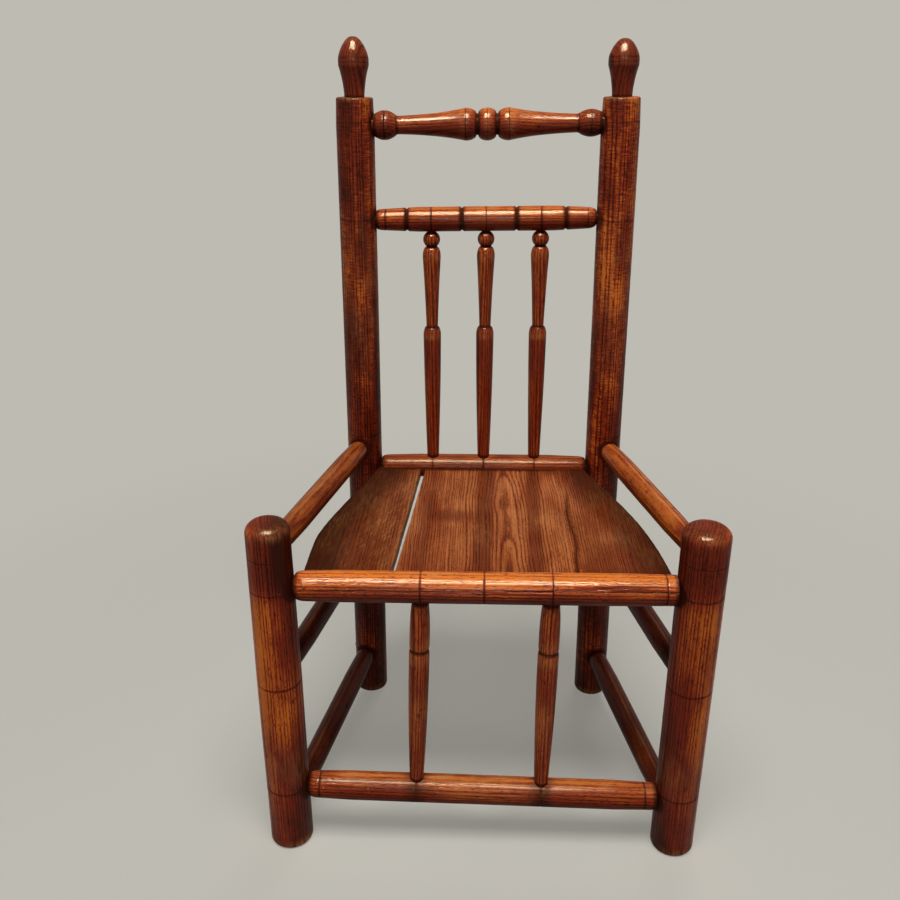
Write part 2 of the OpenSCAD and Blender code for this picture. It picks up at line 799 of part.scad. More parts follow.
// Bore for a spindle's tenon, in the upper or the lower of its two rails
module spindle_bore(ends, lower_r, upper_r, tenon_d, upper) {
    l = span(ends);
    depth = spindle_tenon_l + tenon_end_gap;
    from = upper ? l - 2 * upper_r : lower_r - depth;
    to = upper ? l - upper_r + depth : 2 * lower_r;
    along(ends)
        translate([0, 0, from])
            cylinder(h = to - from, d = tenon_d + 2 * tenon_clearance);
}

// The tenons that start and end a spindle's outline, in rails of the radii lower_r and upper_r.
// The top tenon starts from the outline's last point, at l - upper_r
function foot_tenon(lower_r, r) = [
    [lower_r - spindle_tenon_l, r - tenon_chamfer / 2],
    [lower_r - spindle_tenon_l + tenon_chamfer, r],
    [lower_r, r]
];
function top_tenon(l, upper_r, r) = [
    [l - upper_r + spindle_tenon_l - tenon_chamfer, r],
    [l - upper_r + spindle_tenon_l, r - tenon_chamfer / 2]
];

function back_spindle_line(l) =
    let (
        lower_r = rear_seat_rail_d / 2,
        upper_r = middle_rail_d / 2,
        ball_r = back_ball_d / 2,
        tenon_r = back_spindle_tenon_d / 2,
        neck_r = back_neck_d / 2,
        waist_r = back_waist_d / 2,
        ball_z = l - upper_r - sqrt(ball_r * ball_r - tenon_r * tenon_r),
        neck_z = ball_z - sqrt(ball_r * ball_r - neck_r * neck_r),
        vase_z = neck_z - back_neck_l - back_vase_round,
        waist_z = vase_z - back_vase_l,
        shoulder_z = waist_z - back_shoulder_round,
        foot = [lower_r, back_spindle_foot_d / 2],
        shoulder = [shoulder_z, back_shoulder_d / 2],
        waist = [waist_z, waist_r],
        vase = [vase_z, back_vase_d / 2]
    )
    concat(
        foot_tenon(lower_r, back_spindle_foot_d / 2),
        taper(foot, shoulder, turned_bow),
        round_in(shoulder, waist),
        taper(waist, vase, -back_vase_hollow),
        round_in(vase, [neck_z - back_neck_l, neck_r]),
        ball(ball_z, ball_r, neck_r, tenon_r),
        top_tenon(l, upper_r, tenon_r)
    );

function front_spindle_line(l) =
    let (
        lower_r = front_stretcher_d / 2,
        upper_r = front_seat_rail_d / 2,
        top = [l - upper_r, front_spindle_top_d / 2],
        urn_top = [l - upper_r - front_urn_top_l, front_urn_d / 2],
        urn_low = [urn_top[0] - front_urn_band_l, front_urn_d / 2],
        neck = [urn_low[0] - front_urn_round, front_neck_d / 2],
        shoulder = [neck[0] - front_shoulder_round, front_shoulder_d / 2],
        foot = [lower_r, front_spindle_foot_d / 2]
    )
    concat(
        foot_tenon(lower_r, front_spindle_foot_d / 2),
        taper(foot, shoulder, front_taper_bow),
        round_in(shoulder, neck),
        round_out(neck, urn_low),
        [urn_top],
        round_in(urn_top, top),
        top_tenon(l, upper_r, front_spindle_top_d / 2)
    );

module back_spindle(i) {
    ends = back_spindle_ends(i);
    color(dark_wood)
        along(ends)
            turned(back_spindle_line(span(ends)));
}

module front_spindle(side) {
    ends = front_spindle_ends(side);
    color(dark_wood)
        along(ends)
            turned(front_spindle_line(span(ends)));
}

// Seat boards: the free sides run straight back and then curve in towards the back posts.
// Each shape is a list of [share of the way back, share of the way in]
seat_left_shape = [
    [0, 0], [0.2, 0], [0.28, 0.012], [0.334, 0.035], [0.386, 0.088], [0.44, 0.153],
    [0.495, 0.228], [0.55, 0.312], [0.61, 0.4], [0.73, 0.592], [0.825, 0.775], [1, 1]
];
seat_right_shape = [
    [0, 0], [0.08, 0.016], [0.17, 0.056], [0.27, 0.112], [0.37, 0.182], [0.47, 0.272],
    [0.58, 0.4], [0.64, 0.485], [0.727, 0.603], [0.82, 0.737], [0.89, 0.862], [1, 1]
];
function seat_side(front_w, rear_w, shape) = [
    for (i = [0:side_steps])
        let (t = i / side_steps)
        [mix(front_w, rear_w, lookup(t, shape)), mix(board_front_y, board_rear_y, t)]
];

module seat_board(outline) {
    color(seat_wood)
        difference() {
            translate([0, 0, seat_top_z - seat_t])
                linear_extrude(height = seat_t)
                    polygon(outline);
            for (side = [left, right]) {
                along([front_axis(side, 0), front_axis(side, front_post_h)])
                    cylinder(h = front_post_h, r = front_r + board_clearance);
                along([back_axis(side, 0), back_axis(side, back_post_h)])
                    cylinder(h = back_post_h, r = back_r + board_clearance);
            }
        }
}

module seat_board_narrow() {
    side = seat_side(seat_left_w, seat_rear_left_w, seat_left_shape);
    seat_board(concat(
        [for (p = side) [-p[0], p[1]]],
        [[-gap_rear_x - gap_rear_w, board_rear_y], [-gap_front_x - gap_front_w, board_front_y]]
    ));
}

module seat_board_wide() {
    side = seat_side(seat_right_w, seat_rear_right_w, seat_right_shape);
    seat_board(concat(
        side,
        [[-gap_rear_x, board_rear_y], [-gap_front_x, board_front_y]]
    ));
}

// Pegs: each runs from a post's surface into the tenon behind it
peg_r = peg_d / 2;
peg_line = concat(
    [[-peg_l, peg_r - tenon_chamfer / 2], [-peg_l + tenon_chamfer, peg_r], [0, peg_r]],
    round_in([0, peg_r], [peg_proud, peg_r / 3])
);

// Line of a peg, from the post's surface outwards
function front_peg_ends(side) =
    let (
        axis = front_axis(side, front_seat_rail_z),
        post_r = front_r_at(side, front_seat_rail_z),
        surface = [
            axis[0] - side * peg_inboard,
            axis[1] - sqrt(post_r * post_r - peg_inboard * peg_inboard),
            axis[2]
        ]
    )
    [surface, surface + [0, -peg_l, 0]];
side_peg_ends =
    let (surface = back_axis(left, lower_side_back_z) + [-back_r, 0, 0])
    [surface, surface + [-peg_l, 0, 0]];

module peg_hole(ends) {
    along(ends)
        translate([0, 0, -peg_l - tenon_end_gap])
            cylinder(h = 2 * peg_l, r = peg_r + peg_clearance);
}
module front_peg_hole(side) {
    peg_hole(front_peg_ends(side));
}
module side_peg_hole() {
    peg_hole(side_peg_ends);
}

module joint_pegs() {
    color(dark_wood) {
        along(front_peg_ends(left))
            turned(peg_line);
        along(front_peg_ends(right))
            turned(peg_line);
        along(side_peg_ends)
            turned(peg_line);
    }
}

front_post(left);  // post_front_left
front_post(right);  // post_front_right
back_post(left);  // post_back_left
back_post(right);  // post_back_right
finial(left);  // finial_left
finial(right);  // finial_right
crest_rail();
middle_back_rail();
rear_seat_rail();
front_seat_rail();
front_stretcher();
upper_side_rail(left);  // upper_side_rail_left
upper_side_rail(right);  // upper_side_rail_right
middle_side_rail(left);  // middle_side_rail_left
middle_side_rail(right);  // middle_side_rail_right
lower_side_stretcher(left);  // lower_side_stretcher_left
lower_side_stretcher(right);  // lower_side_stretcher_right
back_spindle(-1);  // back_spindle_left
back_spindle(0);  // back_spindle_centre
back_spindle(1);  // back_spindle_right
front_spindle(left);  // front_spindle_left
front_spindle(right);  // front_spindle_right
seat_board_narrow();
seat_board_wide();
joint_pegs();
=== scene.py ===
import math
import random

import bmesh
import bpy
from mathutils import Matrix, Vector, kdtree, noise


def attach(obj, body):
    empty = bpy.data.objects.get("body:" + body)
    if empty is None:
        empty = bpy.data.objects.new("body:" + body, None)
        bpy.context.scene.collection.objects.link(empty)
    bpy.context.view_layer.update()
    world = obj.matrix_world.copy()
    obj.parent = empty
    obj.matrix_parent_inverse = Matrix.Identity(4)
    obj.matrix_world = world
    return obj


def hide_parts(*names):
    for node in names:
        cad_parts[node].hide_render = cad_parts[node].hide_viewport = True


bl_info = {
    "name": "Turned chair",
    "version": (1, 0, 0),
    "blender": (4, 5, 0),
    "location": "View3D > Sidebar > Chair",
    "description": "A turned wooden chair with a board seat, finished around its packed model",
    "category": "Object",
}

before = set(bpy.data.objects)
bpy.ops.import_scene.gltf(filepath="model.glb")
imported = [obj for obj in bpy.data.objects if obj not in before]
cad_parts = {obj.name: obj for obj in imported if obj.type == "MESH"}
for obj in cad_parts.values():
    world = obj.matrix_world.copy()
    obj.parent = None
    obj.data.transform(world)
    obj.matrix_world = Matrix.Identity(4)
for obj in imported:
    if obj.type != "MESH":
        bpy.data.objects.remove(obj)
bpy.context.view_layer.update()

MM = 0.001
LEFT, RIGHT = -1, 1
SIDES = {LEFT: "left", RIGHT: "right"}
UP = Vector((0, 0, 1))
FRONT = Vector((0, -1, 0))
# Steps along one turned curve
CURVE_STEPS = 9
# Sharpest bend of the wood that is still shaded smooth
SMOOTH_ANGLE = math.radians(50)


def length(name, description, default_mm):
    """A length that a user would change, with its default in millimetres."""
    return bpy.props.FloatProperty(
        name=name, description=description, default=default_mm * MM, min=0, unit="LENGTH")


def linear(hex_colour):
    """Linear colour of an sRGB hex value."""
    channels = [int(hex_colour[i:i + 2], 16) / 255 for i in (1, 3, 5)]
    return [c / 12.92 if c <= 0.04045 else ((c + 0.055) / 1.055) ** 2.4 for c in channels]


def stain(name, description, hex_colour):
    """A colour that a user would change."""
    return bpy.props.FloatVectorProperty(
        name=name, description=description, default=linear(hex_colour), size=3, subtype="COLOR")


class ChairSizes(bpy.types.PropertyGroup):
    """Main sizes of the chair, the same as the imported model's."""
    front_spacing: length("Front spacing", "Between the front posts at the floor", 545)
    front_post_h: length("Front post height", "Height of the front posts", 516)
    front_post_d: length("Front post diameter", "Diameter of the front posts", 59.6)
    front_lean_in: length("Front lean in", "Lean of the front posts to the middle", 4)
    front_left_lean_extra: length("Left front lean", "Extra lean in of the left front post", 2.4)
    front_left_taper: length("Left front taper", "How much thinner its top is", 4)
    front_lean_forward: length("Front lean forward", "Lean of the front posts forwards", 4.5)
    back_spacing: length("Back spacing", "Between the back posts at the floor", 387.5)
    back_post_h: length("Back post height", "Height of the back posts' shoulder", 980)
    back_post_d: length("Back post diameter", "Diameter of the back posts", 53.5)
    back_lean_in: length("Back lean in", "Lean of the back posts to the middle", 11.5)
    back_lean_back: length("Back lean back", "Lean of the back posts backwards", 10)
    frame_depth: length("Depth", "From the front posts to the back posts", 345.5)
    crest_z: length("Crest height", "Height of the crest rail's axis", 945)
    middle_rail_z: length("Middle rail height", "Height of the middle back rail's axis", 817)
    seat_z: length("Seat height", "Height of the seat's top face", 431)
    seat_t: length("Seat thickness", "Thickness of the boards", 15)


class ChairFinish(bpy.types.PropertyGroup):
    """Colours of the stained wood and of the studio."""
    # The pore colours are also the darkest colours of the soiling and painted shade at joints,
    # grooves and the seat's edges
    pore: stain("Pores", "Stain that lies in the open pores and the joints", "#2c0904")
    body: stain("Body", "Stain on most of the wood", "#742410")
    late: stain("Late wood", "Hard wood between the pores, where the stain is thin", "#b9601c")
    bare: stain("Rubbed", "Wood rubbed through to a thin stain", "#b07a4a")
    seat_pore: stain("Seat pores", "Stain in the open pores of the boards", "#330c04")
    seat_body: stain("Seat body", "Stain on most of the boards", "#6f2e12")
    seat_late: stain("Seat late wood", "Hard wood of the boards", "#a96434")
    backdrop: stain("Backdrop", "Pale floor and backdrop", "#bebbb2")


def mm(name):
    """A main size of the chair in millimetres."""
    return getattr(bpy.context.scene.chair_sizes, name) / MM


def tint(name, tone=1.0):
    """A colour of the finish, made lighter or darker, for a colour socket."""
    return [c * tone for c in getattr(bpy.context.scene.chair_finish, name)] + [1]


def clamp(value):
    return min(1, max(0, value))


def mix(a, b, t):
    return a + (b - a) * t


def post_r(row):
    """Radius of the front or the back posts."""
    return mm(row + "_post_d") / 2


# Heights at the posts, in millimetres: a side rail's at its front post and its back post, the
# stretcher's at both front posts, and how far two rails' axes lie below the seat's top
UPPER_SIDE = (471, 467)
MIDDLE_SIDE = (280, 293)
LOWER_SIDE = (51, 83)
STRETCHER = {LEFT: 97, RIGHT: 84.5}
FRONT_RAIL_DROP = 7
REAR_RAIL_DROP = 2.5
# Height of the front posts' domed tops
DOME_H = 14

# Radii of the rails, and how much thinner most of them are at their ends
MIDDLE_RAIL_R = 17.5
REAR_RAIL_R = 18.5
FRONT_RAIL_R = 20.4
STRETCHER_R = 19.8
END_DROP = 1.3
# Gap between a post and the shoulder of a rail
SHOULDER_GAP = 0.4
# Start of the name, heights, radius, shoulder's radius, depth of the flat worn on top, and the
# stain's tone and base. The middle and the lower rails' low tone and high base are painted shade
# under the seat
SIDE_RAILS = (
    ("upper_side_rail_", UPPER_SIDE, 16.1, 12, 1.0, 0.78, 0.32),
    ("middle_side_rail_", MIDDLE_SIDE, 15.5, 11.5, 0.4, 0.5, 0.56),
    ("lower_side_stretcher_", LOWER_SIDE, 16.5, 12, 0.6, 0.5, 0.56))

# x of the spindles' ends, where most of the rails have a scored line
STRETCHER_SPINDLES = (-91, 82.5)
FRONT_RAIL_SPINDLES = (-79.5, 85)
REAR_RAIL_SPINDLES = (-80, 0, 80)
MIDDLE_RAIL_SPINDLES = (-78.5, 0, 78.5)


def front_axis(side, z):
    """Point of a front post's axis at a height."""
    height = mm("front_post_h")
    forward = mm("front_lean_forward")
    front_edge = -post_r("front") - forward * (1 - DOME_H / height)
    rear_edge = (mm("frame_depth") + mm("back_lean_back") * mm("crest_z") / mm("back_post_h")
                 + post_r("back"))
    lean_in = mm("front_lean_in") + (mm("front_left_lean_extra") if side == LEFT else 0)
    return Vector((
        side * (mm("front_spacing") / 2 - lean_in * z / height),
        -(front_edge + rear_edge) / 2 - forward * z / height,
        z))


def front_r(side, z):
    """Radius of a front post at a height: the left one thins above its middle side rail."""
    r = post_r("front")
    if side == LEFT:
        rise = (z - MIDDLE_SIDE[0]) / (mm("front_post_h") - DOME_H - MIDDLE_SIDE[0])
        r -= mm("front_left_taper") / 2 * clamp(rise)
    return r


def back_axis(side, z):
    """Point of a back post's axis at a height."""
    t = z / mm("back_post_h")
    return Vector((
        side * (mm("back_spacing") / 2 - mm("back_lean_in") * t),
        front_axis(side, 0).y + mm("frame_depth") + mm("back_lean_back") * t,
        z))


def span_of(ends):
    """Length of the axis between two points."""
    return (ends[1] - ends[0]).length


def at_x(ends, x):
    """Point of a rail's axis at a distance from the middle of the chair."""
    return ends[0].lerp(ends[1], (x - ends[0].x) / (ends[1].x - ends[0].x))


def front_rail_ends():
    z = mm("seat_z") - FRONT_RAIL_DROP
    return front_axis(LEFT, z), front_axis(RIGHT, z)


def rear_rail_ends():
    z = mm("seat_z") - REAR_RAIL_DROP
    return back_axis(LEFT, z), back_axis(RIGHT, z)


def back_rail_ends(z, tilt):
    return back_axis(LEFT, z - tilt), back_axis(RIGHT, z + tilt)


def crest_ends():
    return back_rail_ends(mm("crest_z"), 1.8)


def middle_rail_ends():
    return back_rail_ends(mm("middle_rail_z"), 2)


def stretcher_ends():
    return tuple(front_axis(side, z) for side, z in STRETCHER.items())


def side_ends(side, heights):
    return front_axis(side, heights[0]), back_axis(side, heights[1])


# Turned outlines: lists of (distance along the axis, radius) in millimetres
def quarter():
    return [math.pi / 2 * i / CURVE_STEPS for i in range(1, CURVE_STEPS + 1)]


def round_out(a, b):
    """Shoulder that leaves straight out from the axis and reaches b along it."""
    return [(mix(a[0], b[0], 1 - math.cos(t)), mix(a[1], b[1], math.sin(t))) for t in quarter()]


def round_in(a, b):
    """The same curve the other way: leaves a along the axis and drops straight in to b."""
    return [(mix(a[0], b[0], math.sin(t)), mix(a[1], b[1], 1 - math.cos(t))) for t in quarter()]


def taper(a, b, bow=0):
    """Straight taper with an outward bow."""
    places = [i / CURVE_STEPS for i in range(1, CURVE_STEPS + 1)]
    return [(mix(a[0], b[0], t), mix(a[1], b[1], t) + bow * 4 * t * (1 - t)) for t in places]


def ball(centre, r, start_r, end_r):
    """Part of a ball, from one radius over its middle to another."""
    first, last = -math.acos(start_r / r), math.acos(end_r / r)
    turns = [mix(first, last, i / (2 * CURVE_STEPS)) for i in range(2 * CURVE_STEPS + 1)]
    return [(centre + r * math.sin(t), r * math.cos(t)) for t in turns]


def post_foot(r):
    """Rounded foot of a post, on the floor."""
    return [(0, r - 6), *round_out((0, r - 6), (6, r))]


def rail_end(start_r, r, face_r, drop):
    """Tenon, flat shoulder, rounded end and slight swell of a plain rail."""
    face = start_r + SHOULDER_GAP
    return [(-4, 6.5), (-2.5, 8), (face, 8), (face, face_r),
            *round_out((face, face_r), (face + 14, r - drop)), (start_r + 60, r)]


def rail_line(ends, start_r, end_r, r, face_rs, drop=END_DROP):
    """Whole plain rail between the axes of its two posts, with the radius of each shoulder."""
    span = span_of(ends)
    far = rail_end(end_r, r, face_rs[1], drop)
    return (rail_end(start_r, r, face_rs[0], drop)
            + [(span - x, radius) for x, radius in reversed(far)])


def scores_at(places, width=1.4, depth=0.5, dirt_and_shade_level=0.9):
    """Scored lines around a piece: each its place, width, depth and how dark it is with soiling and
    painted shade.
    """
    return [(place, width, depth, dirt_and_shade_level) for place in places]


def cut_fine(line, scores, step):
    """The outline with points close enough to be worn, and a rounded groove at each score."""
    cuts = sorted(s[0] + s[1] * k / 8 for s in scores for k in range(-4, 5))
    fine = [line[0]]
    for a, b in zip(line, line[1:]):
        pieces = max(1, math.ceil(math.dist(a, b) / step))
        places = {i / pieces for i in range(1, pieces + 1)}
        if b[0] - a[0] > 0.01:
            places |= {(c - a[0]) / (b[0] - a[0]) for c in cuts if a[0] < c < b[0]}
        fine += [(mix(a[0], b[0], t), mix(a[1], b[1], t)) for t in sorted(places)]
    notched = []
    for x, r in fine:
        for place, width, depth, _ in scores:
            off = abs(x - place) / (width / 2)
            if off < 1:
                r -= depth * math.cos(math.pi / 2 * off) ** 2
        notched.append((x, r))
    return notched


def near(x, marks):
    """How strongly the marks, each (place, reach, strength), act at x."""
    most = 0
    for place, reach, strength in marks:
        t = max(0, 1 - abs(x - place) / reach)
        most = max(most, strength * t * t * (3 - 2 * t))
    return most


def placement(ends, facing):
    """Turns local millimetres, with z along the piece and x to the facing side, to the chair's."""
    axis = (ends[1] - ends[0]).normalized()
    out = (facing - axis * facing.dot(axis)).normalized()
    return Matrix.Translation(ends[0]) @ Matrix((out, axis.cross(out), axis)).transposed().to_4x4()


def speckle(p, size, long=1.0):
    """Noise from -1 to 1 with spots of a size in millimetres, drawn out along the piece."""
    return noise.noise(Vector((p.x / size, p.y / size, p.z / size / long)))


# Least wear of a turned surface, and how far to a side a crack and the soiling and painted shade at a
# joint reach
LEAST_WEAR = 0.02
CRACK_REACH = 1.3
JOINT_DIRT_AND_SHADE_REACH = 5


def turned(name, line, ends, facing, scores=(), sides=80, step=3.0, rubbed=(), grimy=(),
           facet=0.0, lathe=0.0, cracks=(), dents=6, joints=(), rub_side=0.0):
    """A turned piece in the chair's place: its outline spun, then worn by hand.

    rubbed are worn places along the piece, and the marks after it are places darkened by soiling and
    painted shade, such as necks and grooves. facet is the depth of the flat worn on the facing side,
    lathe the height of the tool's ridges, cracks are (angle, from, to, depth) and joints are the
    (point, direction, radius) of the rails that stand against it, round which the piece is darkened
    by painted shade and some soiling.
    """
    draw = random.Random(name)
    shift = Vector([draw.uniform(0, 500) for _ in range(3)])
    place = placement(ends, facing)
    line = cut_fine(line, scores, step)
    start, end = line[0][0], line[-1][0]
    bm = bmesh.new()
    profile = [bm.verts.new((r, 0, x)) for x, r in [(start, 0), *line, (end, 0)]]
    edges = [bm.edges.new(pair) for pair in zip(profile, profile[1:])]
    bmesh.ops.spin(bm, geom=profile + edges, cent=(0, 0, 0), axis=UP, angle=math.tau,
                   steps=sides, use_merge=True, use_duplicate=False)
    bmesh.ops.remove_doubles(bm, verts=bm.verts, dist=0.001)
    bmesh.ops.recalc_face_normals(bm, faces=bm.faces)

    worn = bm.verts.layers.float.new("worn")
    # Darkness of soiling and painted shade in grooves, necks and joints, and of soiling in cracks and
    # dents
    grime = bm.verts.layers.float.new("grime")
    grooves = [(at, width * 0.9, dirt_and_shade_level) for at, width, _, dirt_and_shade_level in scores]
    inverse = place.inverted()
    joints = [(inverse @ p, (inverse.to_3x3() @ d).normalized(), r) for p, d, r in joints]
    for v in bm.verts:
        x, y, z = v.co
        r = math.hypot(x, y)
        p = v.co + shift
        patch = speckle(p, 16, 2.2)
        fine = speckle(p, 5, 3)
        # Grooves and the marked places are darkened by soiling and painted shade
        dirt_and_shade_level = max(near(z, grimy), near(z, grooves))
        # Painted shade, with some soiling, round each rail that stands against the piece
        for point, direction, rail_r in joints:
            gap = v.co - point
            if gap.dot(direction) > 0:
                off = gap.cross(direction).length - rail_r
                dirt_and_shade_level = max(dirt_and_shade_level, 0.75 * max(0, 1 - max(0, off) / JOINT_DIRT_AND_SHADE_REACH) ** 1.5)
        rub = near(z, rubbed) * (0.75 + 0.9 * patch + 0.4 * fine)
        if r > 0.01:
            facing_share = x / r
            rub += rub_side * max(0, facing_share) ** 3 * (0.5 + 0.9 * patch + 0.5 * fine)
            # Wear takes wood away and never adds any
            new_r = r - 0.15 + 0.30 * speckle(p, 60, 3) + 0.10 * speckle(p, 14, 2)
            new_r = min(r - LEAST_WEAR, new_r + lathe * noise.noise(Vector((0.3, 0.7, p.z / 2.6))))
            # The flat starts 40 mm from the ends of the rail and is whole 50 mm further in
            fade = min(1, max(0, min(z - start, end - z) - 40) / 50)
            flat = r - facet * fade * (0.75 + 0.6 * speckle(p, 30, 4))
            if facet and facing_share > 0.3 and new_r * facing_share > flat:
                rub += 0.55 * min(1, (new_r * facing_share - flat) / facet * 2) * (0.6 + 0.8 * patch)
                new_r = flat / facing_share
            turn = math.degrees(math.atan2(y, x))
            for angle, low, high, depth in cracks:
                along = (z - low) / (high - low)
                wander = angle + 2.5 * noise.noise(Vector((z / 25, angle, 0)))
                off = abs((turn - wander + 180) % 360 - 180) * math.pi / 180 * r
                if 0 < along < 1 and off < CRACK_REACH:
                    cut = math.sin(math.pi * along) ** 0.4 * (1 - off / CRACK_REACH)
                    new_r -= depth * cut
                    dirt_and_shade_level = max(dirt_and_shade_level, cut)
            v.co.x *= new_r / r
            v.co.y *= new_r / r
        v[worn] = clamp(rub)
        v[grime] = clamp(dirt_and_shade_level)

    tree = kdtree.KDTree(len(bm.verts))
    for i, v in enumerate(bm.verts):
        tree.insert(v.co, i)
    tree.balance()
    bm.verts.ensure_lookup_table()
    for _ in range(dents):
        z = draw.uniform(mix(start, end, 0.08), mix(start, end, 0.92))
        angle = draw.uniform(0, math.tau)
        reach = draw.uniform(2.5, 6)
        depth = draw.uniform(0.25, 0.7)
        r = next((r for x, r in line if x >= z), line[-1][1])
        spot = Vector((r * math.cos(angle), r * math.sin(angle), z))
        for co, i, off in tree.find_range(spot, reach):
            inward = Vector((co.x, co.y, 0)).normalized()
            cut = math.cos(math.pi / 2 * off / reach) ** 2
            bm.verts[i].co -= inward * depth * cut
            bm.verts[i][grime] = min(1, bm.verts[i][grime] + 0.35 * cut)
    bm.transform(Matrix.Scale(MM, 4) @ place)
    for v in bm.verts:
        v.co.z = max(0, v.co.z)
    return bm


def object_of(name, bm):
    """The scene's object with the shape of a bmesh, which is then done with."""
    mesh = bpy.data.meshes.new(name)
    bm.to_mesh(mesh)
    bm.free()
    piece = bpy.data.objects.new(name, mesh)
    bpy.context.scene.collection.objects.link(piece)
    return piece


def blank_nodes(owner):
    """Empties the nodes of a material or a world and gives the function that adds one."""
    owner.use_nodes = True
    tree = owner.node_tree
    tree.nodes.clear()

    def add(kind, inputs=(), out=0, stops=(), points=(), **settings):
        """Adds a node with its settings, its inputs as values or links, and its curve.

        It gives one of the node's outputs, so that calls can stand inside each other.
        """
        node = tree.nodes.new("ShaderNode" + kind)
        for key, value in settings.items():
            setattr(node, key, value)
        for key, value in inputs.items() if isinstance(inputs, dict) else enumerate(inputs):
            if isinstance(value, bpy.types.NodeSocket):
                tree.links.new(value, node.inputs[key])
            else:
                node.inputs[key].default_value = value
        if stops:
            elements = node.color_ramp.elements
            while len(elements) < len(stops):
                elements.new(0.5)
            for element, (position, value) in zip(elements, stops):
                element.position = position
                element.color = value if isinstance(value, list) else [value] * 3 + [1]
        if points:
            curve = node.mapping.curves[0]
            for x, y in points[1:-1]:
                curve.points.new(x, y)
            for point, place in zip(curve.points, points):
                point.location = place
            node.mapping.update()
        return node.outputs[out] if len(node.outputs) else None

    return add


# Stained ash, turned and varnished. Ash is ring-porous: each year starts with a band of open
# pores that takes the dark stain, and the hard wood between stays lighter and shines. The
# pores are a third of a millimetre wide and are drawn three times as wide, so that they show.
# ring is the width of a year, and drift and wander are how far and how slowly the rings stray,
# all in millimetres. line to band are how dark each pattern is, and base the darkness between
# them. gloss is the wood's roughness, coat the varnish and skin how much grain it shows.
ASH = {
    "ring": 4.3, "drift": 6, "wander": 600, "line": 0.62, "fibre": 0.20, "cloud": 0.20,
    "fleck": 0.34, "band": 0.0, "base": 0.28, "tone": 1.0, "gloss": 0.34, "coat": 0.17,
    "skin": 0.25, "stains": ("late", "body", "pore"), "lean": (0.0, 0.0), "along": (),
    "length": 1.0,
}


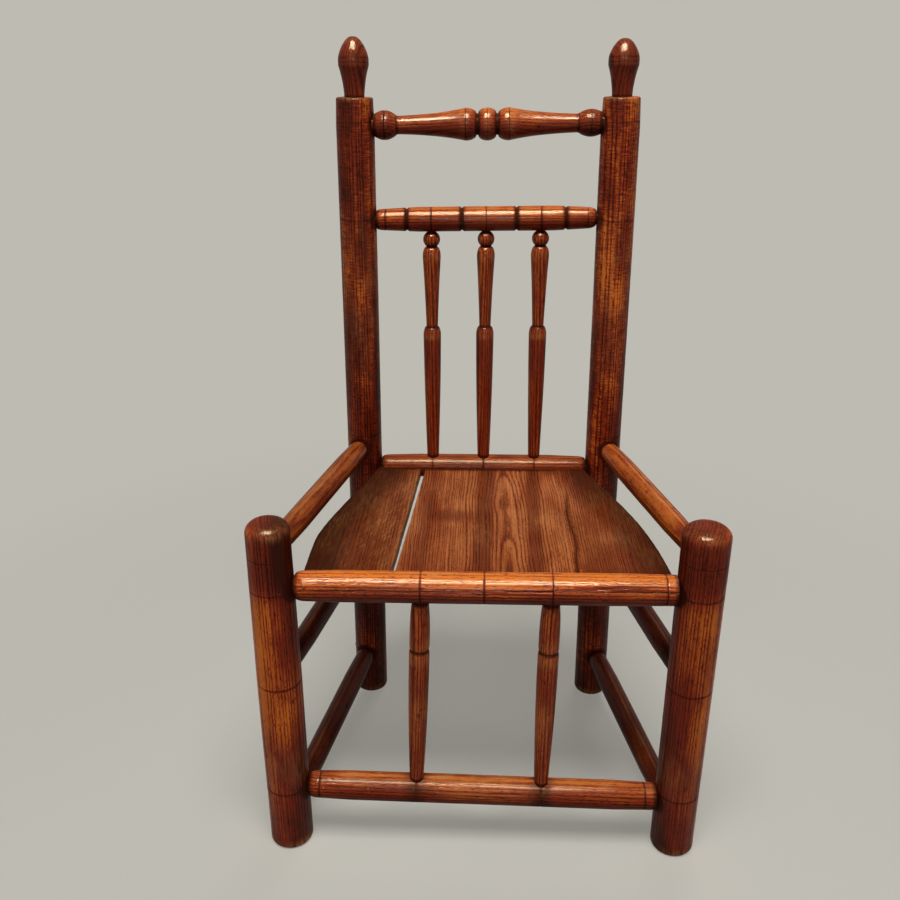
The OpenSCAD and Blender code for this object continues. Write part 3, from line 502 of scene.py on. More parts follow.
def stained_wood(name, place, pith=(14, 42), tilt=(0.0, 0.0), extra=None, **changes):
    """Stained and varnished ash with its grain along the piece's own axis.

    pith is where the tree's middle ran beside the piece, and tilt how it slants. lean is painted
    shade: how much darker the colour gets for each millimetre to a side. along is (share of the
    length, darkness), and extra adds a darkness of its own from the local millimetres.
    """
    look = {**ASH, **changes}
    material = bpy.data.materials.new("stained_ash_" + name)
    add = blank_nodes(material)
    inverse = place.inverted()
    local = add("Mapping", {
        "Vector": add("TexCoord", out="Object"), "Location": inverse.to_translation(),
        "Rotation": inverse.to_euler(), "Scale": (1 / MM, 1 / MM, 1 / MM)})

    def spots(wide, along, detail=2.0, seed=0.0, out="Fac"):
        """Noise with spots of a width and a length in millimetres, moved by a seed."""
        scaled = add("VectorMath", [local, (1 / wide, 1 / wide, 1 / along), (seed, seed, seed)],
                     operation="MULTIPLY_ADD")
        return add("TexNoise", {"Vector": scaled, "Scale": 1.0, "Detail": detail,
                                "Roughness": 0.55}, out)

    def sum_of(start, *terms):
        """start plus each value times its weight."""
        total = start
        for value, weight in terms:
            total = add("Math", [value, weight, total], operation="MULTIPLY_ADD")
        return total

    # Growth rings: distance from the pith line, which drifts as the tree grew
    slanted = add("Mapping", {"Vector": local, "Location": (-pith[0], -pith[1], 0),
                              "Rotation": (tilt[1], tilt[0], 0)})
    drifted = add("VectorMath", [spots(85, look["wander"], 2.0, 3.1, "Color"),
                                 (look["drift"],) * 3, slanted], operation="MULTIPLY_ADD")
    across = add("VectorMath", [drifted, (1, 1, 0)], operation="MULTIPLY")
    from_pith = add("VectorMath", [across], "Value", operation="LENGTH")
    years = add("Math", [from_pith, look["ring"]], operation="DIVIDE")
    slow_years = add("Math", [years, 0.31], operation="MULTIPLY")
    lean_years = add("TexNoise", {"W": slow_years, "Scale": 1.0, "Detail": 1.0}, "Fac",
                     noise_dimensions="1D")
    years = sum_of(years, (lean_years, 1.9))
    season = add("Math", [years], operation="FRACT")
    year_no = add("Math", [years], operation="FLOOR")
    year_tone = add("TexWhiteNoise", {"W": year_no}, "Value", noise_dimensions="1D")
    early = add("ValToRGB", [season], stops=[
        (0.0, 0.5), (0.06, 1.0), (0.24, 0.9), (0.38, 0.22), (0.6, 0.0), (0.9, 0.0), (1.0, 0.5)])
    pores = add("ValToRGB", [spots(1.2, 14, 1.0, 7.7)], stops=[(0.36, 0.0), (0.6, 1.0)])
    broken = sum_of(0.3, (pores, 0.7))
    strength = sum_of(0.45, (year_tone, 0.75))
    open_grain = add("Math", [early, broken], operation="MULTIPLY")
    open_grain = add("Math", [open_grain, strength], operation="MULTIPLY")

    # Drawn out to the whole range from 0 to 1
    fibre, cloud, band = (
        add("MapRange", {"Value": spots(*pattern), "From Min": 0.34, "From Max": 0.66})
        for pattern in ((2.1, 90, 2.0, 1.3), (30, 110, 3.0, 5.9), (14, 1.6, 1.0, 9.2)))
    fleck = add("ValToRGB", [spots(1.0, 7, 1.0, 4.4)], stops=[(0.58, 0.0), (0.68, 1.0)])
    worn = add("Attribute", out="Fac", attribute_name="worn")
    grime = add("Attribute", out="Fac", attribute_name="grime")
    middle = look["base"] - 0.5 * (look["fibre"] + look["cloud"] + look["band"])
    # Painted shade: lean darkens one side of the piece, and the pieces' attribute adds soiling and
    # painted shade
    painted_lean_shade = add("VectorMath", [local, (*look["lean"], 0)], "Value", operation="DOT_PRODUCT")
    dark = sum_of(middle, (open_grain, look["line"]), (fibre, look["fibre"]),
                  (cloud, look["cloud"]), (band, look["band"]), (fleck, look["fleck"]),
                  (grime, 0.85), (worn, -0.22), (painted_lean_shade, 1.0))
    if look["along"]:
        share = add("MapRange", {"Value": add("SeparateXYZ", [local], "Z"),
                                 "From Max": look["length"]})
        curve = add("FloatCurve", {"Value": share},
                    points=[(t, 0.5 + darkness) for t, darkness in look["along"]])
        dark = sum_of(-0.5, (dark, 1.0), (curve, 1.0))
    if extra:
        dark = add("Math", [dark, extra(add, local)])
    late, body, pore = (tint(stain_name, look["tone"]) for stain_name in look["stains"])
    wood = add("ValToRGB", [dark], stops=[(0.0, late), (0.42, body), (1.0, pore)])
    scuff = add("ValToRGB", [spots(3.5, 22, 3.0, 2.4)], stops=[(0.4, 0.0), (0.62, 1.0)])
    rubbed = add("Math", [worn, sum_of(0.12, (scuff, 0.5))], operation="MULTIPLY")
    wood = add("Mix", {"Factor": rubbed, "A": wood, "B": tint("bare", look["tone"])}, "Result",
               data_type="RGBA")

    rough = sum_of(look["gloss"], (cloud, 0.12), (open_grain, 0.14), (worn, 0.15), (grime, 0.4))
    height = sum_of(0.0, (open_grain, -0.28), (fleck, -0.22), (fibre, 0.05),
                    (band, look["band"] * 0.3))
    bump = add("Bump", {"Height": height, "Distance": MM, "Strength": 0.8})
    # The varnish fills the pores in part, so its own surface is smoother than the wood's. It alone
    # gives the sharp shine, which soiling and painted shade take away. The wood under it is nearly
    # matt.
    skin = add("Bump", {"Height": height, "Distance": MM, "Strength": look["skin"]})
    varnish = sum_of(look["coat"], (grime, -look["coat"]))
    shader = add("BsdfPrincipled", {
        "Base Color": wood, "Roughness": rough, "IOR": 1.5, "Specular IOR Level": 0.05,
        "Specular Tint": (1.0, 0.55, 0.25, 1.0),
        "Coat Weight": varnish, "Coat Roughness": 0.05, "Coat IOR": 1.5,
        "Normal": bump, "Coat Normal": skin})
    add("OutputMaterial", {"Surface": shader})
    return material


def keep(node, bm, slot, place, look, name=None):
    """Makes the shape a finished piece of stained ash that stands for its CAD node."""
    piece = object_of(name or "wood_" + node, bm)
    piece.data.polygons.foreach_set("use_smooth", [True] * len(piece.data.polygons))
    piece.data.set_sharp_from_angle(angle=SMOOTH_ANGLE)
    piece.data.materials.append(stained_wood(node, place, **look))
    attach(piece, "root")
    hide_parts(node)


def turned_piece(node, line, ends, look, name=None, slot="rail_wood", facing=UP, **wear):
    """A turned piece, worn, finished and kept."""
    name = name or "wood_" + node
    bm = turned(name, line, ends, facing, **wear)
    keep(node, bm, slot, placement(ends, facing), {"length": span_of(ends), **look}, name)


def side_rail_joints(side, end):
    """Where the side rails stand against their front post, end 0, or their back post, end 1."""
    joints = []
    for _, heights, r, *_ in SIDE_RAILS:
        ends = side_ends(side, heights)
        joints.append((ends[end], ends[1 - end] - ends[end], r - END_DROP))
    return joints


def end_dirt_and_shade(ends, start_r, end_r, reach=7):
    """Soiling and painted shade where a rail meets its two posts."""
    return [(start_r, reach, 0.9), (span_of(ends) - end_r, reach, 0.9)]


def along_rail(ends, xs):
    """Distances along a rail of the places at the given x."""
    return [(at_x(ends, x) - ends[0]).length for x in xs]


class CHAIR_OT_front_posts(bpy.types.Operator):
    """Thick turned front posts with domed tops"""
    bl_idname = "chair.front_posts"
    bl_label = "Front posts"

    def execute(self, context):
        r, height = post_r("front"), mm("front_post_h")
        rail_z = mm("seat_z") - FRONT_RAIL_DROP
        # lean darkens each front post towards its inner side: painted shade
        looks = {
            LEFT: dict(pith=(-16, 88), lean=(0, 0.010), tone=1.08, along=(
                (0, 0.2), (0.12, 0.2), (0.28, 0.17), (0.42, -0.14), (0.5, -0.24), (0.66, -0.09),
                (0.8, 0.12), (0.86, 0.28), (1, 0.3))),
            RIGHT: dict(pith=(-22, -80), lean=(0, -0.008), tone=0.98, along=(
                (0, 0.22), (0.12, 0.18), (0.3, 0.12), (0.55, -0.06), (0.76, 0.0),
                (0.85, 0.14), (1, 0.12)))}
        for side, name in SIDES.items():
            top_r = front_r(side, height)
            line = [*post_foot(r), (MIDDLE_SIDE[0], r),
                    (height - DOME_H, top_r), *round_in((height - DOME_H, top_r), (height, 11))]
            inward = Vector((-side, 0, 0))
            turned_piece(
                "post_front_" + name, line, (front_axis(side, 0), front_axis(side, height)),
                dict(looks[side], line=0.66, fleck=0.5, cloud=0.34, coat=0.12),
                name="wood_front_post_" + name, slot="post_wood", facing=FRONT, sides=96,
                scores=scores_at([101.5, MIDDLE_SIDE[0], rail_z, UPPER_SIDE[0]], 1.2, 0.1, 0.75),
                rubbed=[(height - 8, 14, 0.2), (4, 16, 0.7), (150, 60, 0.25)],
                grimy=[(height, 12, 0.22), (height - 60, 60, 0.22), (0, 30, 0.35)],
                joints=[(front_axis(side, rail_z), inward, 19),
                        (front_axis(side, STRETCHER[side]), inward, STRETCHER_R - END_DROP),
                        *side_rail_joints(side, 0)],
                dents=16, lathe=0.05)
        return {"FINISHED"}


class CHAIR_OT_back_posts(bpy.types.Operator):
    """Tall turned back posts with a flat shoulder"""
    bl_idname = "chair.back_posts"
    bl_label = "Back posts"

    def execute(self, context):
        r, height, crest_z = post_r("back"), mm("back_post_h"), mm("crest_z")
        line = [*post_foot(r), (crest_z, r), (height - 2.5, 25.5),
                *round_in((height - 2.5, 25.5), (height, 23))]
        # lean darkens the right back post a little towards its outer side: painted shade
        looks = {
            LEFT: dict(pith=(-14, -84), tone=0.88, base=0.38, along=(
                (0, 0.2), (0.3, 0.3), (0.42, 0.38), (0.5, 0.12), (0.7, 0.05), (1, 0.05))),
            RIGHT: dict(pith=(-30, 76), lean=(0, 0.003), along=(
                (0, 0.2), (0.3, 0.3), (0.42, 0.38), (0.5, 0.12), (0.7, 0.0), (1, 0.0)))}
        rails = ((crest_z, 15), (mm("middle_rail_z"), 16), (mm("seat_z") - REAR_RAIL_DROP, 17))
        for side, name in SIDES.items():
            inward = Vector((-side, 0, 0))
            turned_piece(
                "post_back_" + name, line, (back_axis(side, 0), back_axis(side, height)),
                dict(looks[side], band=0.34, cloud=0.6, line=0.85, fleck=0.55, coat=0.12),
                name="wood_back_post_" + name, slot="post_wood", facing=FRONT, sides=72, step=2.0,
                scores=scores_at([LOWER_SIDE[1], MIDDLE_SIDE[1], UPPER_SIDE[1] + 21,
                                  mm("middle_rail_z"), crest_z + 3.2], 1.2, 0.1, 0.4),
                rubbed=[(height, 7, 0.6), (4, 14, 0.6), (700, 200, 0.2)],
                grimy=[(height, 4, 0.3), (0, 30, 0.35)],
                joints=[*[(back_axis(side, z), inward, rail_r) for z, rail_r in rails],
                        *side_rail_joints(side, 1)],
                dents=22, lathe=0.14)
        return {"FINISHED"}


class CHAIR_OT_finials(bpy.types.Operator):
    """Acorn finials on the back posts"""
    bl_idname = "chair.finials"
    bl_label = "Finials"

    def execute(self, context):
        acorn = ((48, 20.8), (52, 20.1), (56, 18.9), (60, 17.3), (64, 15.3), (67.5, 13.1),
                 (70.5, 10.9), (73, 8.5), (75, 5.8), (76, 2.5))
        for side, name in SIDES.items():
            # The right one is worn a little lower
            low = 1 if side == LEFT else 0.88
            line = [(-18, 5), (-16.5, 6.5), (0, 6.5), (0, 13.8),
                    *taper((0, 13.8), (40, 20.8), -1.4),
                    *[(48 + (z - 48) * low, r) for z, r in acorn]]
            top = back_axis(side, mm("back_post_h"))
            turned_piece(
                "finial_" + name, line, (top, top * 2 - back_axis(side, 0)),
                dict(pith=(-12, side * 50), tone=0.85, base=0.44), slot="post_wood", facing=FRONT,
                sides=72, step=1.6, scores=scores_at([44, 50], 1.2, 0.15, 0.5),
                rubbed=[(44, 8, 0.1), (72, 6, 0.25)], grimy=[(0, 5, 0.6)], dents=3)
        return {"FINISHED"}


class CHAIR_OT_crest_rail(bpy.types.Operator):
    """Crest rail: a middle ring between two long vases, with a bead at each post"""
    bl_idname = "chair.crest_rail"
    bl_label = "Crest rail"

    def execute(self, context):
        ends = crest_ends()
        half = span_of(ends) / 2
        bead_end = half - post_r("back") - SHOULDER_GAP
        bead_start = bead_end - 31

        def out(bead_r):
            """From the middle ring to a tenon, with an end bead of a radius."""
            return [
                *round_in((0, 21.7), (12.5, 14.2)), (15, 14.2),
                *round_out((15, 14.2), (30, 21.7)),
                *taper((30, 21.7), (65, 16.1), -0.4), *taper((65, 16.1), (bead_start, 12.4), -0.6),
                *taper((bead_start, 12.4), (bead_end + 2, 14), bead_r - 13.4),
                (bead_end + 2, 12.5), (half + 2.5, 12.5), (half + 4, 11)]

        line = [(half - x, r) for x, r in reversed(out(20.0))] + [(half, 21.7)]
        line += [(half + x, r) for x, r in out(18.5)]
        bead_score = mix(bead_start, bead_end, 0.55)
        scores = scores_at([half - 30, half + 30, half + bead_score], 1.3, 0.4, 0.8)
        scores += scores_at([half], 1.2, 0.3, 0.5) + scores_at([half - bead_score], 2, 0.7, 1.0)
        # lean darkens the underside: painted shade
        turned_piece(
            "crest_rail", line, ends,
            dict(pith=(-50, 44), tone=0.92, base=0.4, line=0.42, fibre=0.16, lean=(-0.014, 0)),
            scores=scores, step=1.8, rub_side=0.25,
            rubbed=[(half, 9, 0.4), (half - 34, 8, 0.35), (half + 34, 8, 0.35)],
            grimy=[(half + side * x, reach, dirt_and_shade_level) for side in SIDES for x, reach, dirt_and_shade_level in (
                (13.7, 5, 1.0), (bead_start, 3, 0.7), (bead_end, 5, 1.0), (bead_score, 22, 0.3))])
        return {"FINISHED"}


class CHAIR_OT_middle_back_rail(bpy.types.Operator):
    """Middle back rail with scored bands, over the back spindles"""
    bl_idname = "chair.middle_back_rail"
    bl_label = "Middle back rail"

    def execute(self, context):
        ends = middle_rail_ends()
        r = post_r("back")
        half = span_of(ends) / 2
        bands = [half + x for x in (-113.5, -34.7, 43.3, 113.5)]
        scores = scores_at(bands, 6.6, 1.9, 1.0)
        scores += scores_at([half - 144, half - 78.5, half + 78.5], 1.6, 0.7, 0.95)
        scores += scores_at([half, half + 144], 1.2, 0.4, 0.7)
        # lean darkens the underside: painted shade
        turned_piece(
            "middle_back_rail", rail_line(ends, r, r, MIDDLE_RAIL_R, (12.5, 9), drop=2.2), ends,
            dict(pith=(-48, 40), tone=0.92, base=0.38, line=0.46, coat=0.13, lean=(-0.018, 0)),
            scores=scores, rubbed=[(half, 60, 0.2)], grimy=end_dirt_and_shade(ends, r, r, reach=6),
            dents=7, rub_side=0.25)
        return {"FINISHED"}


class CHAIR_OT_seat_rails(bpy.types.Operator):
    """Rails that hold the front and the rear of the seat boards"""
    bl_idname = "chair.seat_rails"
    bl_label = "Seat rails"

    def execute(self, context):
        ends = rear_rail_ends()
        r = post_r("back")
        # lean darkens each rail's underside: painted shade
        turned_piece(
            "rear_seat_rail", rail_line(ends, r, r, REAR_RAIL_R, (13, 13)), ends,
            dict(pith=(-50, 46), tone=0.66, base=0.46, line=0.46, coat=0.07, lean=(-0.010, 0)),
            scores=scores_at(along_rail(ends, REAR_RAIL_SPINDLES)), grimy=end_dirt_and_shade(ends, r, r),
            dents=5, rub_side=0.3)
        ends = front_rail_ends()
        r = post_r("front")
        turned_piece(
            "front_seat_rail",
            rail_line(ends, front_r(LEFT, ends[0].z), r, FRONT_RAIL_R, (13.5, 19.6), drop=0.8),
            ends, dict(pith=(-52, 50), tone=1.05, base=0.34, fleck=0.6, coat=0.15, skin=0.6,
                       lean=(-0.018, 0)),
            sides=128, scores=scores_at(along_rail(ends, (*FRONT_RAIL_SPINDLES, 0, 225.4))),
            step=2.5, facet=0.6, cracks=[(74, 26, 300, 1.0), (70, 290, 352, 0.8), (60, 352, 505, 0.9),
                               (54, 378, 470, 0.6), (66, 420, 522, 0.7), (48, 400, 500, 0.5)],
            grimy=end_dirt_and_shade(ends, r, r), dents=12, rub_side=0.3)
        return {"FINISHED"}


class CHAIR_OT_front_stretcher(bpy.types.Operator):
    """Front stretcher, worn by feet"""
    bl_idname = "chair.front_stretcher"
    bl_label = "Front stretcher"

    def execute(self, context):
        ends = stretcher_ends()
        r = post_r("front")
        spindles = along_rail(ends, STRETCHER_SPINDLES)
        # lean darkens the underside: painted shade, and the marks round the spindles' feet are
        # soiling and painted shade
        turned_piece(
            "front_stretcher", rail_line(ends, r, r, STRETCHER_R, (13.5, 17.5)), ends,
            dict(pith=(-50, 48), tone=0.85, base=0.42, fleck=0.5, gloss=0.45, coat=0.07, skin=0.7,
                 lean=(-0.010, 0)),
            scores=scores_at([46, *spindles, span_of(ends) - 46]), step=2.5, facet=1.1,
            rubbed=[(span_of(ends) / 2, 130, 0.25)],
            grimy=end_dirt_and_shade(ends, r, r) + [(x, 22, 0.5) for x in spindles],
            dents=14, rub_side=0.35)
        return {"FINISHED"}


class CHAIR_OT_side_rails(bpy.types.Operator):
    """Side rails at arm height, under the seat and near the floor"""
    bl_idname = "chair.side_rails"
    bl_label = "Side rails"

    def execute(self, context):
        back_r = post_r("back")
        for start, heights, r, face_r, facet, tone, base in SIDE_RAILS:
            for side, name in SIDES.items():
                ends = side_ends(side, heights)
                fore_r = front_r(side, heights[0])
                # Painted shade: lean darkens each rail's underside and outer side, and the left rails
                # are made darker as painted shade too
                turned_piece(
                    start + name, rail_line(ends, fore_r, back_r, r, (face_r, face_r)), ends,
                    dict(pith=(-50, side * 46), lean=(-0.012, side * 0.006), base=base,
                         tone=tone * (0.72 if side == LEFT else 1)),
                    grimy=end_dirt_and_shade(ends, fore_r, back_r), facet=facet, dents=7,
                    rub_side=0.3 if facet > 0.9 else 0.15)
        return {"FINISHED"}


class CHAIR_OT_back_spindles(bpy.types.Operator):
    """Three turned spindles in the back"""
    bl_idname = "chair.back_spindles"
    bl_label = "Back spindles"

    def execute(self, context):
        low, high = rear_rail_ends(), middle_rail_ends()
        for i, name in ((0, "left"), (1, "centre"), (2, "right")):
            ends = at_x(low, REAR_RAIL_SPINDLES[i]), at_x(high, MIDDLE_RAIL_SPINDLES[i])
            top = span_of(ends) - MIDDLE_RAIL_R
            ball_z = top - math.sqrt(12.4 ** 2 - 5.5 ** 2)
            neck_z = ball_z - math.sqrt(12.4 ** 2 - 8 ** 2)
            vase_z = neck_z - 1.5 - 14
            waist_z = vase_z - 105
            shoulder_z = waist_z - 13
            line = [
                (5.5, 8.55), (7, 9.3), (18.5, 9.3), *taper((18.5, 9.3), (shoulder_z, 13.3), 0.6),
                *round_in((shoulder_z, 13.3), (waist_z, 8.6)),
                *taper((waist_z, 8.6), (vase_z, 13.3), -0.35),
                *round_in((vase_z, 13.3), (neck_z - 1.5, 8)), *ball(ball_z, 12.4, 8, 5.5),
                (top + 11.5, 5.5), (top + 13, 4.75)]
            turned_piece(
                "back_spindle_" + name, line, ends,
                dict(pith=(-10, 44 if i == 1 else -46), tone=0.88, ring=3.4, base=0.34),
                slot="spindle_wood", facing=FRONT, sides=56, step=2.2,
                rubbed=[(shoulder_z, 8, 0.4), (vase_z, 10, 0.35)],
                grimy=[(18.5, 5, 0.8), (waist_z, 4, 0.7), (neck_z, 3, 0.9), (top, 3, 0.9)],
                dents=4)
        return {"FINISHED"}


class CHAIR_OT_front_spindles(bpy.types.Operator):
    """Two turned spindles under the front seat rail"""
    bl_idname = "chair.front_spindles"
    bl_label = "Front spindles"

    def execute(self, context):
        low, high = stretcher_ends(), front_rail_ends()
        for (side, name), foot_x, top_x in zip(
                SIDES.items(), STRETCHER_SPINDLES, FRONT_RAIL_SPINDLES):
            ends = at_x(low, foot_x), at_x(high, top_x)
            top = span_of(ends) - FRONT_RAIL_R
            urn_top, urn_low = top - 60, top - 66
            neck, shoulder = urn_low - 8, urn_low - 15
            line = [
                (6.8, 9), (8.3, 9.75), (19.8, 9.75), *taper((19.8, 9.75), (shoulder, 13.8), 1.2),
                *round_in((shoulder, 13.8), (neck, 11.1)),
                *round_out((neck, 11.1), (urn_low, 13.5)), (urn_top, 13.5),
                *round_in((urn_top, 13.5), (top, 10)), (top + 11.5, 10), (top + 13, 9.25)]
            turned_piece(
                "front_spindle_" + name, line, ends,
                dict(pith=(-10, side * -46), tone=0.95, ring=3.4), slot="spindle_wood",
                facing=FRONT, sides=56, step=2.2, dents=7,
                rubbed=[(shoulder - 4, 14, 0.5), (urn_low + 5, 16, 0.4), (130, 60, 0.3)],
                grimy=[(19.8, 5, 0.9), (neck, 4, 0.8), (top, 5, 0.8)])
        return {"FINISHED"}


# Seat boards, in millimetres: their edges run in straight or curved lines from front to rear
BOARD_FRONT_Y = -164.86
BOARD_REAR_Y = 165.2
BOARD_ROWS = 132
BOARD_EDGE_WEAR = 1.6
CRACK_HALF_WIDTH = 0.9
# Play between a board and the posts that it is cut round
POST_PLAY = 0.3

# x of the line that the wide board's grain and marks are measured from, and the saw marks' step
WIDE_X = 62
SAW_STEP = 2.7
# Half width of the seat at the front and the rear rail, and how the side gets from one to the
# other: share of the way in at shares of the way back
SEAT_SIDES = {
    LEFT: (231.15, 166.19, (
        (0, 0), (0.2, 0), (0.28, 0.012), (0.334, 0.035), (0.386, 0.088), (0.44, 0.153),
        (0.495, 0.228), (0.55, 0.312), (0.61, 0.4), (0.73, 0.592), (0.825, 0.775), (1, 1))),
    RIGHT: (239.66, 158.19, (
        (0, 0), (0.08, 0.016), (0.17, 0.056), (0.27, 0.112), (0.37, 0.182), (0.47, 0.272),
        (0.58, 0.4), (0.64, 0.485), (0.727, 0.603), (0.82, 0.737), (0.89, 0.862), (1, 1))),
}


def seat_side(side, t):
    """x of the seat's free side, from the front rail at 0 to the rear one at 1."""
    front_w, rear_w, shape = SEAT_SIDES[side]
    shares = []
    # The mean over a short stretch rounds the corners of the list
    reach = min(0.06, t, 1 - t)
    for k in range(-3, 4):
        at = t + reach * k / 3
        for (t0, s0), (t1, s1) in zip(shape, shape[1:]):
            if at <= t1 or t1 == 1:
                shares.append(mix(s0, s1, (at - t0) / (t1 - t0)))
                break
    return side * mix(front_w, rear_w, sum(shares) / len(shares))


def board(name, left_edge, right_edge, columns, gap_side, crack=None):
    """A seat board between two edges, given as x for t from the front to the rear.

    crack gives the x and the depth of a long crack in its top at t.
    """
    top, thick = mm("seat_z"), mm("seat_t")
    draw = random.Random(name)
    shift = Vector([draw.uniform(0, 500) for _ in range(3)])
    bm = bmesh.new()
    bmesh.ops.create_grid(bm, x_segments=columns, y_segments=BOARD_ROWS, size=1)
    for v in bm.verts:
        u, t = (v.co.x + 1) / 2, (v.co.y + 1) / 2
        v.co = (mix(left_edge(t), right_edge(t), u), mix(BOARD_FRONT_Y, BOARD_REAR_Y, t), top)
    flat = bmesh.ops.extrude_face_region(bm, geom=bm.faces[:])
    low = [g for g in flat["geom"] if isinstance(g, bmesh.types.BMVert)]
    bmesh.ops.translate(bm, verts=low, vec=(0, 0, -thick))
    bmesh.ops.recalc_face_normals(bm, faces=bm.faces)
    upright = [e for e in bm.edges if abs(e.verts[0].co.z - e.verts[1].co.z) > thick / 2]
    bmesh.ops.subdivide_edges(bm, edges=upright, cuts=4, use_grid_fill=True)
    rims = [e for e in bm.edges if len(e.link_faces) == 2 and e.calc_face_angle() > 0.7]
    bmesh.ops.bevel(bm, geom=rims, offset=1.1, segments=2, profile=0.5, affect="EDGES",
                    material=-1, clamp_overlap=True)
    worn = bm.verts.layers.float.new("worn")
    grime = bm.verts.layers.float.new("grime")
    rows = {}
    for v in bm.verts:
        t = clamp((v.co.y - BOARD_FRONT_Y) / (BOARD_REAR_Y - BOARD_FRONT_Y))
        left, right = left_edge(t), right_edge(t)
        free_x, gap_x = (left, right) if gap_side == RIGHT else (right, left)
        u = (v.co.x - left) / (right - left)
        p = v.co + shift
        patch = noise.noise(Vector((p.x / 30, p.y / 55, 0)))
        height = (v.co.z - top + thick) / thick
        if height > 0.999:
            rows.setdefault(round(v.co.y, 2), (t, []))[1].append(v)
        # Hollowed by sitters, with the middle of each board lowest
        sat_on = math.sin(math.pi * t)
        v.co.z -= height * 0.9 * sat_on * (0.6 + 0.4 * patch)
        v.co.z += 0.25 * noise.noise(Vector((p.x / 18, p.y / 90, p.z / 30)))
        free, gap = abs(v.co.x - free_x), abs(v.co.x - gap_x)
        v.co.z -= height * BOARD_EDGE_WEAR * max(0, 1 - free / 12) ** 2
        v.co.z -= height * 0.7 * max(0, 1 - gap / 7) ** 2
        if u > 0.9 or u < 0.1:
            v.co.x += 0.5 * noise.noise(Vector((p.y / 16, p.z / 8, 3)))
        v[worn] = clamp(0.4 * max(0, 1 - gap / 6) + 0.3 * sat_on * (0.5 + patch))
        # Painted shade along the joints with the front and the rear rail, and painted shade and
        # reflection of the side rails and posts towards the free edge, more towards the rear
        joint = min(abs(v.co.y - BOARD_FRONT_Y - 7), abs(BOARD_REAR_Y - 10 - v.co.y))
        outer = (0.55 + 0.45 * t) * max(0, 1 - free / (42 + 34 * t)) ** 0.8
        outer += 0.4 * max(0, 1 - free / 9)
        outer *= 0.85 + 0.5 * patch
        v[grime] = min(1, max(0, outer, 0.9 * max(0, 1 - joint / 6)))
        for side in SIDES:
            for axis, r in ((front_axis, front_r(side, top)), (back_axis, post_r("back"))):
                middle = axis(side, v.co.z)
                away = Vector((v.co.x - middle.x, v.co.y - middle.y))
                if away.length < r + POST_PLAY:
                    v.co.xy = middle.xy + away.normalized() * (r + POST_PLAY)
    for t, row in rows.values():
        x, depth = crack(t) if crack else (0, 0)
        if depth > 0:
            row.sort(key=lambda v: v.co.x)
            k = min(range(len(row)), key=lambda i: abs(row[i].co.x - x))
            for v, off, share in zip(row[k - 1:k + 2], (-1, 0, 1), (0.6, 1, 0.6)):
                v.co.x = x + off * CRACK_HALF_WIDTH
                v[grime] = max(v[grime], share * min(1, depth * 1.6))
            row[k].co.z -= depth
    bm.transform(Matrix.Scale(MM, 4))
    return bm


